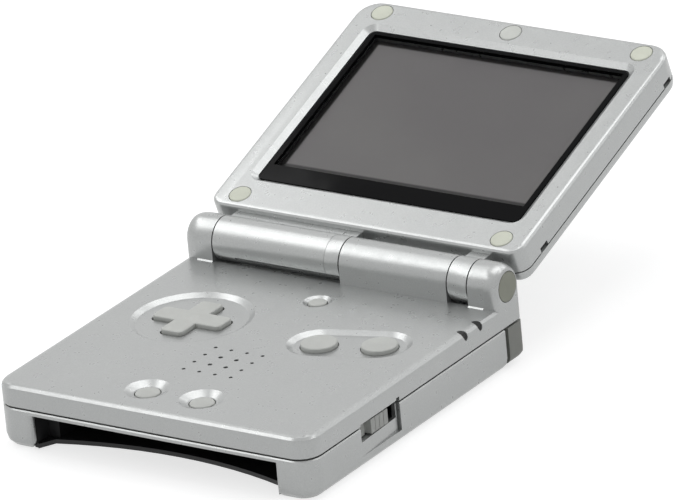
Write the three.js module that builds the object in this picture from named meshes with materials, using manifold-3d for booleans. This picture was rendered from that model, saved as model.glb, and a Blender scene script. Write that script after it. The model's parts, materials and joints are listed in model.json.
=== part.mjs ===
// Clamshell handheld game console, open at the back stop of its hinge and resting on its underside.
// Millimetres. The origin is on the underside at its centre: X to the right, Y to the hinge, Z up.
// Base pieces are drawn from the base's front edge, and lid pieces from the hinge axis, in a turned group.

import * as THREE from 'three';
import { mergeVertices } from 'three/addons/utils/BufferGeometryUtils.js';
import Module from 'manifold-3d';

const wasm = await Module();
wasm.setup();

// Base
const BASE_WIDTH = 82;
const BASE_DEPTH = 84.1;
const DECK_HEIGHT = 14.9;
const SEAM_DROP = 5.1;
const SHELL_WALL = 1.6;
const DECK_PLATE = 1.6;
const FLOOR_PLATE = 1.3;
const FRONT_CORNER_R = 5;
const BACK_CORNER_R = 3;
const DECK_EDGE_R = 1.4;
const FOOT_EDGE_R = 2.9;
const SEAM_EDGE_R = 0.25;

// Clearances
const CLEAR = 0.3;
const SEAT = 0.1;
const RUNNING = 0.35;
const OVERRUN = 1;

// Hinge
const BARREL_R = 5.02;
const AXIS_RISE = 3.98;
const OPEN_ANGLE = 161.17;
const LEFT_KNUCKLE = 7.53;
const RIGHT_KNUCKLE = 7.4;
const SHORT_BARREL = 5.2;
const CENTRE_KNUCKLE = 28.29;
const KNUCKLE_FILLET = 0.3;
const KNUCKLE_END_R = 1.55;
const KNUCKLE_END_LENGTH = 3.3;
const BORE_R = 3.2;
const BORE_END_WALL = 2.7;
const END_CAP_R = 3.38;
const END_CAP_DEPTH = 1.45;
const END_CAP_PROUD = 0.05;
const CLICK_UNIT_REACH = 6.2;
const LEFT_PIN_REACH = 6;
const TROUGH_GAP = 0.8;
const TROUGH_WALL = 0.8;
const BARREL_SPLIT = 0.35;
const BARREL_SPLIT_START = 5.4;
const BARREL_SPLIT_TICK = 1.2;
const BARREL_SPLIT_FALL = 29;
const BARREL_RING_MARGIN = 3.7;
const BARREL_RING_WIDTH = 0.15;
const BARREL_RING_DEPTH = 0.07;

// Lid
const LID_SETBACK = 0.75;
const LID_START = 6.59;
const LID_FACE_GAP = 0.38;
const LID_THICKNESS = 9.1;
const LID_FRONT_DEPTH = 5.85;
const LID_WALL = 1.5;
const LID_BACK_PLATE = 1.4;
const LID_FACE_PLATE = 2.6;
const LID_FOOT_CORNER_R = 3.5;
const LID_HEAD_CORNER_R = 5.5;
const LID_FACE_EDGE_R = 1;
const LID_BACK_EDGE_R = 2;
const WEB_BARREL_DROP = 0.7;
const WEB_FOOT_DROP = 1.6;
const LATCH_SLOT_LENGTH = 3;
const LATCH_SLOT_HEIGHT = 1.05;
const LATCH_SLOT_DEPTH = 0.9;
const LATCH_SLOT_MARGIN = 7.6;

// Screen
const WINDOW_SIDE_MARGIN = 5;
const WINDOW_FOOT_MARGIN = 9;
const WINDOW_HEAD_MARGIN = 7.45;
const WINDOW_CORNER_R = 3.1;
const WINDOW_BEVEL = 1.05;
const WINDOW_SLOPE = 1.35;
const WINDOW_THICKNESS = 0.9;
const WINDOW_LEDGE = 1;
const LEDGE_MARGIN = 1.2;
const PANEL_SIDE_MARGIN = 7.8;
const PANEL_FOOT_MARGIN = 16.74;
const PANEL_THICKNESS = 1.2;
const PANEL_GAP = 0.65;
const PANEL_HEAD_MARGIN = 10.2;
const LIGHT_UNIT_THICKNESS = 2.3;
const SCREEN_FRAME_WALL = 3.5;
const SCREEN_FRAME_FLOOR = 0.6;

// Lid pads and screws
const PAD_R = 2.5;
const PAD_THICKNESS = 1.1;
const PAD_PROUD = 0.2;
const PAD_POCKET_DEPTH = 2.05;
const PAD_SIDE_MARGIN = 6.5;
const PAD_HEAD_MARGIN = 3.75;
const PAD_FOOT_MARGIN = 3.9;
const LID_SCREW_HEAD_R = 1.6;
const LID_SCREW_HEAD = 0.6;
const LID_SCREW_R = 0.8;
const LID_BOSS_R = 2.2;
const LID_SCREW_TIP = 0.9;

// Flexible ribbon through the hinge
const FLEX_WIDTH = 13;
const FLEX_THICKNESS = 0.6;
const FLEX_ROLL_R = 2.2;
const FLEX_ROLL_MARGIN = 10.17;
const FLEX_INSET = 9.5;
const FLEX_SLOT_HEIGHT = 1.4;

// Dishes and buttons on the deck; places are shares of the base's width and depth
const DISH_DEPTH = 0.85;
const DISH_SLOPE = 1.6;
const DISH_FLOOR = 1.3;
const DISH_WALL_SHARES = [[0, 0], [0.15, 0.06], [0.85, 0.94], [1, 1]];
const BUTTON_FLANGE = 0.8;
const BUTTON_LIP = 0.9;
const BUTTON_GAP = 0.2;
const BUTTON_EDGE_R = 0.4;
const D_PAD_PLACE_SHARES = [-0.2484, 0.5529];
const D_PAD_DISH_R = 14;
const D_PAD_ARM_ACROSS = 8.95;
const D_PAD_ARM_ALONG = 8.5;
const D_PAD_ARM_WIDTH = 5.7;
const D_PAD_DROP = -0.15;
const D_PAD_FLANGE_R = 10.2;
const D_PAD_FLANGE = 0.6;
const D_PAD_FLANGE_GAP = 0.8;
const D_PAD_HOLE_CLEAR = 0.4;
const D_PAD_CORNER_R = 1.2;
const D_PAD_EDGE_R = 0.35;
const PIVOT_R = 2;
const PIVOT_HEIGHT = 0.7;
const ACTION_DISH_R = 7.4;
const ACTION_R = 4.1;
const ACTION_DROP = -0.3;
const B_PLACE_SHARES = [0.168, 0.5396];
const A_PLACE_SHARES = [0.327, 0.5876];
const MENU_DISH_R = 5.4;
const MENU_DISH_DEPTH = 1.05;
const MENU_DISH_SLOPE = 2.3;
const MENU_R = 2.8;
const MENU_DROP = 0.6;
const SELECT_PLACE_SHARES = [-0.0865, 0.121];
const START_PLACE_SHARES = [0.0865, 0.121];
const LIGHT_DISH_R = 3.35;
const LIGHT_DISH_DEPTH = 0.6;
const LIGHT_DISH_SLOPE = 1;
const LIGHT_R = 2.1;
const LIGHT_DROP = -0.05;
const LIGHT_PLACE_SHARES = [0.009, 0.7645];
const BUTTON_CROWN = 0.15;

// Speaker
const SPEAKER_PLACE_SHARES = [0.0037, 0.3365];
const SPEAKER_R = 9.5;
const SPEAKER_HEIGHT = 2.6;
const SPEAKER_HOLE_R = 0.46;
const SPEAKER_CENTRE_HOLE_R = 0.56;
const SPEAKER_PITCH = 4.1;
const SPEAKER_ROWS = 4;

// Rubber contacts and main board
const BOARD_DROP = 5.3;
const BOARD_THICKNESS = 0.8;
const BOARD_FRONT_MARGIN = 6;
const BOARD_BACK_MARGIN = 12.6;
const BOARD_SIDE_MARGIN = 9.1;
const BOARD_CORNER_R = 2;
const RUBBER_SHEET = 0.4;
const RUBBER_DOME = 0.7;
const RUBBER_DOME_R = 2.4;
const RUBBER_MARGIN = 1.4;
const ROCK_DOME = 0.5;

// Card slot
const POST_BAY = 6.9;
const CARD_SLOT_STEP = 2.8;
const CARD_MOUTH_DEPTH = 6.4;
const CARD_SLOT_DEPTH = 36.6;
const CARD_STRIP = 0.93;
const LINER_WALL = 0.8;
const LINER_STEP = 1;
const LEG_EDGE_R = 1.4;
const LEG_FOOT_R = 2.4;
const LIP_DEPTH = 14;
const LIP_FRONT = 1.5;
const LIP_CENTRE = 9.5;
const LIP_END = 5.2;
const LIP_EAR = 2.4;
const LIP_RISE = 0.3;
const CONNECTOR_MARGIN = 2.4;
const CONNECTOR_DEPTH = 4.3;
const CONNECTOR_LIFT = 1.1;
const CONNECTOR_GROOVE = 1.6;

// Battery
const BATTERY_LEFT_MARGIN = 17.5;
const BATTERY_RIGHT_MARGIN = 25.5;
const BATTERY_FRONT_GAP = 4.8;
const BATTERY_BACK_MARGIN = 9.7;
const BATTERY_HEADROOM = 1.8;
const COVER_MARGIN = 0.2;
const COVER_TAB = 8.7;
const COVER_RECESS = 0.15;
const COVER_CORNER_R = 1.5;
const COVER_SCREW_HEAD_R = 1.6;
const COVER_SCREW_R = 0.8;
const COVER_SCREW_SPARE = 1.2;
const COVER_BOSS = 5;
const COVER_BOSS_HEADROOM = 2.8;

// Shoulder buttons
const SHOULDER_INNER_X = 15;
const SHOULDER_SIDE_DEPTH = 6.2;
const SHOULDER_ARM = 3.5;
const SHOULDER_CORNER = 8;
const SHOULDER_FOOT = 0.75;
const SHOULDER_TRAVEL = 1.2;
const SHOULDER_SIDE_GAP = 0.4;
const SHOULDER_CORNER_R = 1.6;
const SHOULDER_SIDE_R = 2;
const SHOULDER_BACK_R = 4.5;
const SHOULDER_ARM_R = 2;
const SHOULDER_LEAN = 0.5;
const SHOULDER_SHELF = 9.1;
const SHOULDER_PIN_R = 0.65;
const SHOULDER_PIN_INSET = 2.3;
const SHOULDER_SPRING_R = 1.6;
const SHOULDER_SPRING_WALL = 0.5;
const SHOULDER_SPRING_MARGIN = 13;
const NOTCH_WALL = 1.4;

// Power switch on the right side and volume slider on the left
const SWITCH_SLOT_FRONT = 19.8;
const SWITCH_SLOT_LENGTH = 14.1;
const SWITCH_SLOT_HEIGHT = 4.1;
const SWITCH_SLOT_ABOVE_SEAM = 0.7;
const SWITCH_PLATE_LENGTH = 10.3;
const SWITCH_GRIP_LENGTH = 6.4;
const SWITCH_PLATE = 1;
const SWITCH_GRIP_PROUD = 1.2;
const SWITCH_RECESS_FOOT = 3.2;
const SWITCH_RECESS_DEPTH = 0.7;
const SWITCH_RECESS_MARGIN = 1;
const SWITCH_STEP_GROOVE = 1;
const RECESS_NOTCH_WIDTH = 1.2;
const RECESS_NOTCH_RISE = 1.2;
const RECESS_GROOVE_WIDTH = 0.6;
const RECESS_GROOVE_DEPTH = 1.25;
const KNOB_HEADROOM = 0.5;
const SWITCH_BODY_WIDTH = 4.6;
const SWITCH_BODY_HEIGHT = 3.5;
const VOLUME_SLOT_MARGIN = 24.7;
const VOLUME_SLOT_LENGTH = 14.8;
const VOLUME_PLATE_LENGTH = 7;
const KNOB_GROOVE = 0.2;
const KNOB_RIBS = 4;

// Indicator lenses on the right deck edge
const LENS_WIDTH = 1.9;
const LENS_REACH = 2.3;
const LENS_DROP = 1.85;
const LENS_BACK_MARGIN = 16.5;
const LENS_PITCH = 5.8;

// Sockets in the back wall
const SOCKET_FOOT = 3.2;
const LINK_WIDTH = 11;
const LINK_HEADROOM = 1.7;
const LINK_X = 2.5;
const POWER_WIDTH = 5.8;
const POWER_HEADROOM = 2.7;
const POWER_X = -8.5;
const SOCKET_WALL = 0.5;
const SOCKET_DEPTH = 6.2;
const SOCKET_BACK = 0.8;
const SOCKET_TONGUE = 0.8;

// Base screws
const SCREW_BOSS_R = 2.4;
const SCREW_HEAD_R = 1.5;
const SCREW_HEAD = 1.4;
const SCREW_R = 0.75;
const SCREW_RECESS = 1.8;
const SCREW_FRONT = 13;
const SCREW_BACK_MARGIN = 16.1;
const SCREW_BITE = 3;

// Segments
const CORNER_STEPS = 3;
const EDGE_STEPS = 3;
const CHAMFER_STEPS = 1;
const LARGE_ROUND_SIDES = 32;
const SMALL_ROUND_SIDES = 20;
const TINY_ROUND_SIDES = 8;

// Finishes
function finish(color, roughness, metalness) {
  return new THREE.MeshStandardMaterial({ color, roughness, metalness });
}
const SILVER = finish(0xb9bbb9, 0.42, 0.35);
const BUTTON_GREY = finish(0xb7b8b4, 0.55, 0);
const SHOULDER_GREY = finish(0x82837d, 0.5, 0);
const BLACK = finish(0x101011, 0.45, 0);
const RUBBER = finish(0xc9ccbd, 0.8, 0);
const DARK_RUBBER = finish(0x2b2c2e, 0.85, 0);
const CAP = finish(0x8b8d80, 0.6, 0);
const WINDOW = finish(0x141416, 0.08, 0);
const PANEL = finish(0x76777a, 0.3, 0);
const WHITE = finish(0xe4e4e0, 0.5, 0);
const BOARD = finish(0x1f5a3a, 0.55, 0);
const STEEL = finish(0xa8aaad, 0.3, 1);
const FLEX = finish(0xb5762c, 0.5, 0);

// Solids

function trianglesWithoutSlivers(index) {
  const kept = [];
  for (let i = 0; i < index.length; i += 3) {
    const [a, b, c] = [index[i], index[i + 1], index[i + 2]];
    if (a !== b && b !== c && c !== a) kept.push(a, b, c);
  }
  return kept;
}

function signedVolume(points, index) {
  const [a, b, c] = [new THREE.Vector3(), new THREE.Vector3(), new THREE.Vector3()];
  let volume = 0;
  for (let i = 0; i < index.length; i += 3) {
    a.fromArray(points, 3 * index[i]);
    b.fromArray(points, 3 * index[i + 1]);
    c.fromArray(points, 3 * index[i + 2]);
    volume += a.dot(b.cross(c));
  }
  return volume;
}

function solidOf(geometry) {
  geometry.deleteAttribute('normal');
  geometry.deleteAttribute('uv');
  const merged = mergeVertices(geometry);
  const points = merged.attributes.position.array;
  const index = trianglesWithoutSlivers(merged.index.array);
  if (signedVolume(points, index) < 0) index.reverse();
  const mesh = new wasm.Mesh({ numProp: 3, vertProperties: points, triVerts: new Uint32Array(index) });
  return new wasm.Manifold(mesh);
}

function geometryOf(solid) {
  const mesh = solid.getMesh();
  const geometry = new THREE.BufferGeometry();
  geometry.setAttribute('position', new THREE.BufferAttribute(new Float32Array(mesh.vertProperties), 3));
  geometry.setIndex(new THREE.BufferAttribute(new Uint32Array(mesh.triVerts), 1));
  geometry.computeVertexNormals();
  return geometry;
}

function joined(solids) {
  return solids.reduce((all, next) => all.add(next));
}

function cut(solid, tools) {
  return tools.reduce((rest, tool) => rest.subtract(tool), solid);
}

function box(x, y, z) {
  const geometry = new THREE.BoxGeometry(x[1] - x[0], y[1] - y[0], z[1] - z[0]);
  geometry.translate((x[0] + x[1]) / 2, (y[0] + y[1]) / 2, (z[0] + z[1]) / 2);
  return solidOf(geometry);
}

function rod(x, y, z, radius, sides = SMALL_ROUND_SIDES) {
  const geometry = new THREE.CylinderGeometry(radius, radius, z[1] - z[0], sides);
  geometry.rotateX(Math.PI / 2);
  geometry.translate(x, y, (z[0] + z[1]) / 2);
  return solidOf(geometry);
}

function rodAlongX(x, y, z, radius, sides = LARGE_ROUND_SIDES) {
  const geometry = new THREE.CylinderGeometry(radius, radius, x[1] - x[0], sides);
  geometry.rotateZ(Math.PI / 2);
  geometry.translate((x[0] + x[1]) / 2, y, z);
  return solidOf(geometry);
}

function rodAlongY(x, y, z, radius, sides = SMALL_ROUND_SIDES) {
  const geometry = new THREE.CylinderGeometry(radius, radius, y[1] - y[0], sides);
  geometry.translate(x, (y[0] + y[1]) / 2, z);
  return solidOf(geometry);
}

// A turned solid on a vertical axis, from a profile of radius and height.
function turned(x, y, profile, sides = SMALL_ROUND_SIDES) {
  const points = profile.map(([radius, height]) => new THREE.Vector2(radius, height));
  const geometry = new THREE.LatheGeometry(points, sides);
  geometry.rotateX(Math.PI / 2);
  geometry.translate(x, y, 0);
  return solidOf(geometry);
}

// A rectangle with round corners, in the order front left, front right, back right, back left.
function roundedRect(x, y, radii) {
  const [a, b, c, d] = radii;
  const shape = new THREE.Shape();
  shape.absarc(x[0] + a, y[0] + a, a, Math.PI, 1.5 * Math.PI);
  shape.absarc(x[1] - b, y[0] + b, b, 1.5 * Math.PI, 2 * Math.PI);
  shape.absarc(x[1] - c, y[1] - c, c, 0, 0.5 * Math.PI);
  shape.absarc(x[0] + d, y[1] - d, d, 0.5 * Math.PI, Math.PI);
  return shape;
}

function evenRect(x, y, radius) {
  return roundedRect(x, y, [radius, radius, radius, radius]);
}

function pill(from, to, radius) {
  const angle = Math.atan2(to[1] - from[1], to[0] - from[0]);
  const shape = new THREE.Shape();
  shape.absarc(to[0], to[1], radius, angle - Math.PI / 2, angle + Math.PI / 2);
  shape.absarc(from[0], from[1], radius, angle + Math.PI / 2, angle + 1.5 * Math.PI);
  return shape;
}

function polygon(points) {
  return new THREE.Shape(points.map(([x, y]) => new THREE.Vector2(x, y)));
}

function plate(shape, z, steps = CORNER_STEPS) {
  const geometry = new THREE.ExtrudeGeometry(shape, {
    depth: z[1] - z[0], bevelEnabled: false, curveSegments: steps,
  });
  geometry.translate(0, 0, z[0]);
  return solidOf(geometry);
}

// A plate whose top and bottom edges are rounded inward by the same amount.
function softPlate(shape, z, edge, steps = EDGE_STEPS) {
  const geometry = new THREE.ExtrudeGeometry(shape, {
    depth: z[1] - z[0] - 2 * edge,
    bevelThickness: edge,
    bevelSize: edge,
    bevelOffset: -edge,
    bevelSegments: steps,
    curveSegments: CORNER_STEPS,
  });
  geometry.translate(0, 0, z[0] + edge);
  return solidOf(geometry);
}

// A solid through an outline that is drawn in by a different inset at each height, from the lowest up.
function stacked(levels, outlineAt, steps = CORNER_STEPS) {
  const rings = levels.map(([inset]) => ringOf(outlineAt(inset), steps));
  const count = rings[0].length;
  const points = rings.flatMap(
    (ring, level) => ring.flatMap((point) => [point.x, point.y, levels[level][1]]),
  );
  const cap = THREE.ShapeUtils.triangulateShape(rings[0], []);
  const top = (rings.length - 1) * count;
  const index = cap.flatMap(([a, b, c]) => [a, c, b, top + a, top + b, top + c]);
  for (let foot = 0; foot < top; foot += count) {
    for (let i = 0; i < count; i += 1) {
      const next = (i + 1) % count;
      const [a, b, c, d] = [foot + i, foot + next, foot + count + next, foot + count + i];
      index.push(a, b, c, a, c, d);
    }
  }
  const geometry = new THREE.BufferGeometry();
  geometry.setAttribute('position', new THREE.BufferAttribute(new Float32Array(points), 3));
  geometry.setIndex(index);
  return solidOf(geometry);
}

function ringOf(shape, steps) {
  const ring = shape.extractPoints(steps).shape;
  return ring[0].distanceTo(ring[ring.length - 1]) < SEAT / LARGE_ROUND_SIDES ? ring.slice(0, -1) : ring;
}

// Levels of a round edge, as inset and height: a quarter circle from the wall up to a flat top.
function roundTop(top, radius, steps = EDGE_STEPS) {
  const levels = [];
  for (let i = 0; i <= steps; i += 1) {
    const angle = (i / steps) * (Math.PI / 2);
    levels.push([radius * (1 - Math.cos(angle)), top - radius * (1 - Math.sin(angle))]);
  }
  return levels;
}

function roundFoot(foot, radius, steps = EDGE_STEPS) {
  return roundTop(-foot, radius, steps).map(([inset, height]) => [inset, -height]).reverse();
}

// The cutter of a recess: full outline at the surface, drawn in by the slope at the floor.
function recessCutter(outlineAt, surface, depth, slope) {
  return stacked([[slope, surface - depth], [0, surface], [0, surface + OVERRUN]], outlineAt);
}

// Layout of the base, from its front edge and its underside

const HALF = BASE_WIDTH / 2;
const HINGE_Y = BASE_DEPTH - BARREL_R;
const HINGE_Z = DECK_HEIGHT + AXIS_RISE;
const SEAM_TOP = DECK_HEIGHT - SEAM_DROP;
const SEAM_FOOT = SEAM_TOP - CLEAR;
const DECK_UNDER = DECK_HEIGHT - DECK_PLATE;
const BOSS_UNDER = DECK_HEIGHT - DISH_DEPTH - DISH_FLOOR;
const INNER_HALF = HALF - SHELL_WALL;
const BOARD_TOP = DECK_HEIGHT - BOARD_DROP;
const BOARD_UNDER = BOARD_TOP - BOARD_THICKNESS;
const RUBBER_FOOT = BOARD_TOP + SEAT;
const RUBBER_TOP = RUBBER_FOOT + RUBBER_SHEET;
const FLANGE_TOP = BOSS_UNDER - CLEAR;
const FLANGE_FOOT = FLANGE_TOP - BUTTON_FLANGE;

// Boundaries between the knuckles, from left to right
const KNUCKLE_EDGES = [
  -HALF + LEFT_KNUCKLE,
  HALF - RIGHT_KNUCKLE - SHORT_BARREL - CENTRE_KNUCKLE,
  HALF - RIGHT_KNUCKLE - SHORT_BARREL,
  HALF - RIGHT_KNUCKLE,
];
const LONG_BARREL_SPAN = [KNUCKLE_EDGES[0] + CLEAR / 2, KNUCKLE_EDGES[1] - CLEAR / 2];
const SHORT_BARREL_SPAN = [KNUCKLE_EDGES[2] + CLEAR / 2, KNUCKLE_EDGES[3] - CLEAR / 2];
const CENTRE_SPAN = [KNUCKLE_EDGES[1] + CLEAR / 2, KNUCKLE_EDGES[2] - CLEAR / 2];
const BORE_END = HALF - BORE_END_WALL;

function placeOnBase([across, along]) {
  return [across * BASE_WIDTH, along * BASE_DEPTH];
}
const D_PAD_PLACE = placeOnBase(D_PAD_PLACE_SHARES);
const A_PLACE = placeOnBase(A_PLACE_SHARES);
const B_PLACE = placeOnBase(B_PLACE_SHARES);
const START_PLACE = placeOnBase(START_PLACE_SHARES);
const SELECT_PLACE = placeOnBase(SELECT_PLACE_SHARES);
const LIGHT_PLACE = placeOnBase(LIGHT_PLACE_SHARES);
const SPEAKER_PLACE = placeOnBase(SPEAKER_PLACE_SHARES);

// Card slot: a bay beside it keeps room for the screw posts
const LINER_HALF = INNER_HALF - POST_BAY;
const MOUTH_HALF = LINER_HALF - LINER_WALL;
const SLOT_HALF = MOUTH_HALF - CARD_SLOT_STEP;
const CONNECTOR_HALF = SLOT_HALF - CONNECTOR_MARGIN;
const CONNECTOR_BACK = CARD_SLOT_DEPTH + CLEAR + CONNECTOR_DEPTH;

function basePlan(inset = 0) {
  const x = [-HALF + inset, HALF - inset];
  const y = [inset, BASE_DEPTH - inset];
  const front = FRONT_CORNER_R - inset;
  const back = BACK_CORNER_R - inset;
  return roundedRect(x, y, [front, front, back, back]);
}

const SCREW_X = (LINER_HALF + CLEAR + INNER_HALF) / 2;
const SCREW_PLACES = [
  [-SCREW_X, SCREW_FRONT],
  [SCREW_X, SCREW_FRONT],
  [-SCREW_X, BASE_DEPTH - SCREW_BACK_MARGIN],
  [SCREW_X, BASE_DEPTH - SCREW_BACK_MARGIN],
];

// Side switches: the slot's place along the side, and its height band
const SWITCH_SLOT_TOP = SEAM_TOP + SWITCH_SLOT_ABOVE_SEAM;
const SWITCH_BAND = [SWITCH_SLOT_TOP - SWITCH_SLOT_HEIGHT, SWITCH_SLOT_TOP];
const KNOB_BAND = [SWITCH_BAND[0] + CLEAR, SWITCH_BAND[1] - KNOB_HEADROOM];
const SWITCH_SLOT = [SWITCH_SLOT_FRONT, SWITCH_SLOT_FRONT + SWITCH_SLOT_LENGTH];
const VOLUME_SLOT_BACK = BASE_DEPTH - VOLUME_SLOT_MARGIN;
const VOLUME_SLOT = [VOLUME_SLOT_BACK - VOLUME_SLOT_LENGTH, VOLUME_SLOT_BACK];
const RECESS_SPAN = [SWITCH_SLOT[0] - SWITCH_RECESS_MARGIN / 2, SWITCH_SLOT[1] + SWITCH_RECESS_MARGIN];

function sideSlot(side, span) {
  const x = side > 0 ? [INNER_HALF - OVERRUN, HALF + OVERRUN] : [-HALF - OVERRUN, -INNER_HALF + OVERRUN];
  return box(x, span, SWITCH_BAND);
}

// The finger recess deepens towards its back step.
function switchRecess() {
  const shape = polygon([
    [HALF, RECESS_SPAN[0]],
    [HALF + OVERRUN, RECESS_SPAN[0]],
    [HALF + OVERRUN, RECESS_SPAN[1]],
    [HALF - SWITCH_RECESS_DEPTH, RECESS_SPAN[1]],
  ]);
  return plate(shape, [SWITCH_RECESS_FOOT, SEAM_TOP]);
}

// A notch above the step and a groove down it
function recessNotch() {
  const x = [HALF - RECESS_GROOVE_DEPTH, HALF + OVERRUN];
  const y = [RECESS_SPAN[1] - RECESS_NOTCH_WIDTH, RECESS_SPAN[1]];
  return box(x, y, [SEAM_TOP - OVERRUN, SEAM_TOP + RECESS_NOTCH_RISE]);
}

function recessGroove() {
  const y = [RECESS_SPAN[1] - RECESS_GROOVE_WIDTH, RECESS_SPAN[1]];
  return box([HALF - RECESS_GROOVE_DEPTH, HALF + OVERRUN], y, [SWITCH_RECESS_FOOT, SEAM_TOP]);
}

// Base upper shell

// A dish sinks from its rim to its floor, gently at both and straight between them.
function dish(outlineAt, depth, slope, steps) {
  const wall = DISH_WALL_SHARES.map(([across, down]) => [slope * across, DECK_HEIGHT - depth * down]);
  return stacked([...wall.reverse(), [0, DECK_HEIGHT + OVERRUN]], outlineAt, steps);
}

function roundDish(place, radius, depth, slope, steps) {
  return dish((inset) => evenCircle(place, radius - inset), depth, slope, steps);
}

function dishes() {
  const small = SMALL_ROUND_SIDES / 2;
  return [
    roundDish(D_PAD_PLACE, D_PAD_DISH_R, DISH_DEPTH, DISH_SLOPE, LARGE_ROUND_SIDES / 2),
    dish((inset) => pill(B_PLACE, A_PLACE, ACTION_DISH_R - inset), DISH_DEPTH, DISH_SLOPE, small / 2),
    roundDish(START_PLACE, MENU_DISH_R, MENU_DISH_DEPTH, MENU_DISH_SLOPE, small),
    roundDish(SELECT_PLACE, MENU_DISH_R, MENU_DISH_DEPTH, MENU_DISH_SLOPE, small),
    roundDish(LIGHT_PLACE, LIGHT_DISH_R, LIGHT_DISH_DEPTH, LIGHT_DISH_SLOPE, small),
  ];
}

function evenCircle([x, y], radius) {
  const shape = new THREE.Shape();
  shape.absarc(x, y, radius, 0, 2 * Math.PI);
  return shape;
}

function dishBosses() {
  const z = [BOSS_UNDER, DECK_UNDER + SEAT];
  return [
    rod(...D_PAD_PLACE, z, D_PAD_DISH_R, LARGE_ROUND_SIDES),
    plate(pill(B_PLACE, A_PLACE, ACTION_DISH_R), z),
    rod(...START_PLACE, z, MENU_DISH_R),
    rod(...SELECT_PLACE, z, MENU_DISH_R),
    rod(...LIGHT_PLACE, z, LIGHT_DISH_R),
  ];
}

// The pad's cross, grown by a margin on all its sides and rounded along its edges.
function crossSolid(margin, z, edge) {
  const [x, y] = D_PAD_PLACE;
  const half = D_PAD_ARM_WIDTH / 2 + margin;
  const across = D_PAD_ARM_ACROSS + margin;
  const along = D_PAD_ARM_ALONG + margin;
  const corner = D_PAD_CORNER_R + margin;
  const bars = [
    evenRect([x - across, x + across], [y - half, y + half], corner),
    evenRect([x - half, x + half], [y - along, y + along], corner),
  ];
  return joined(bars.map((bar) => (edge ? softPlate(bar, z, edge) : plate(bar, z))));
}

function buttonHoles() {
  const z = [BOSS_UNDER - OVERRUN, DECK_HEIGHT];
  return [
    crossSolid(D_PAD_HOLE_CLEAR, z, 0),
    rod(...A_PLACE, z, ACTION_R + BUTTON_GAP, LARGE_ROUND_SIDES),
    rod(...B_PLACE, z, ACTION_R + BUTTON_GAP, LARGE_ROUND_SIDES),
    rod(...START_PLACE, z, MENU_R + BUTTON_GAP, LARGE_ROUND_SIDES),
    rod(...SELECT_PLACE, z, MENU_R + BUTTON_GAP, LARGE_ROUND_SIDES),
    rod(...LIGHT_PLACE, z, LIGHT_R + BUTTON_GAP, LARGE_ROUND_SIDES),
  ];
}

function speakerHoles() {
  const holes = [];
  const middle = (SPEAKER_ROWS - 1) / 2;
  const z = [DECK_UNDER - OVERRUN, DECK_HEIGHT + OVERRUN];
  for (let row = 0; row < SPEAKER_ROWS; row += 1) {
    for (let column = 0; column < SPEAKER_ROWS; column += 1) {
      const [across, along] = [column - middle, row - middle];
      const central = Math.max(Math.abs(across), Math.abs(along)) < SPEAKER_ROWS / 4;
      const radius = central ? SPEAKER_CENTRE_HOLE_R : SPEAKER_HOLE_R;
      const x = SPEAKER_PLACE[0] + across * SPEAKER_PITCH;
      const y = SPEAKER_PLACE[1] + along * SPEAKER_PITCH;
      holes.push(rod(x, y, z, radius, TINY_ROUND_SIDES));
    }
  }
  return holes;
}

// The middle knuckle's outline seen from the side: a round top on flat front and back walls.
function knuckleOutline() {
  const foot = DECK_HEIGHT - DECK_EDGE_R;
  const shape = new THREE.Shape();
  shape.moveTo(HINGE_Y - BARREL_R, foot);
  shape.lineTo(HINGE_Y + BARREL_R, foot);
  shape.absarc(HINGE_Y, HINGE_Z, BARREL_R, 0, Math.PI);
  return shape;
}

function alongX(geometry) {
  const turn = new THREE.Matrix4().makeBasis(
    new THREE.Vector3(0, 1, 0), new THREE.Vector3(0, 0, 1), new THREE.Vector3(1, 0, 0));
  return geometry.applyMatrix4(turn);
}

// An outline of depth and height, carried across the width.
function acrossWidth(shape, x, steps = CORNER_STEPS) {
  const geometry = new THREE.ExtrudeGeometry(shape, {
    depth: x[1] - x[0], bevelEnabled: false, curveSegments: steps,
  });
  return solidOf(alongX(geometry).translate(x[0], 0, 0));
}

// An outline of width and height, carried along the depth.
function alongDepth(shape, y) {
  const geometry = new THREE.ExtrudeGeometry(shape, {
    depth: y[1] - y[0], bevelEnabled: false, curveSegments: CORNER_STEPS,
  });
  const turn = new THREE.Matrix4().makeBasis(
    new THREE.Vector3(1, 0, 0), new THREE.Vector3(0, 0, 1), new THREE.Vector3(0, -1, 0));
  return solidOf(geometry.applyMatrix4(turn).translate(0, y[1], 0));
}

// An end knuckle runs down to the seam, with its outer edge rounded towards the side wall and the cap.
function endOutline() {
  const foot = SEAM_TOP - KNUCKLE_END_R;
  const shape = new THREE.Shape();
  shape.moveTo(HINGE_Y - BARREL_R, foot);
  shape.lineTo(HINGE_Y + BARREL_R, foot);
  shape.absarc(HINGE_Y, HINGE_Z, BARREL_R, 0, Math.PI);
  return shape;
}

function endKnuckle(side, inner) {
  const near = Math.abs(inner);
  const geometry = new THREE.ExtrudeGeometry(endOutline(), {
    depth: HALF - near,
    bevelThickness: KNUCKLE_END_LENGTH,
    bevelSize: KNUCKLE_END_R,
    bevelOffset: -KNUCKLE_END_R,
    bevelSegments: 2 * EDGE_STEPS,
    curveSegments: LARGE_ROUND_SIDES / 4,
  });
  alongX(geometry).translate(near - KNUCKLE_END_LENGTH, 0, 0);
  if (side < 0) geometry.scale(-1, 1, 1);
  const depth = [HINGE_Y - 2 * BARREL_R, BASE_DEPTH + OVERRUN];
  const spare = mirroredX([near - 2 * KNUCKLE_END_LENGTH - OVERRUN, near], side);
  return cut(solidOf(geometry), [
    box(spare, depth, [0, HINGE_Z + BARREL_R + OVERRUN]),
    box([-BASE_WIDTH, BASE_WIDTH], depth, [0, SEAM_TOP + SEAM_EDGE_R]),
  ]);
}

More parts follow.
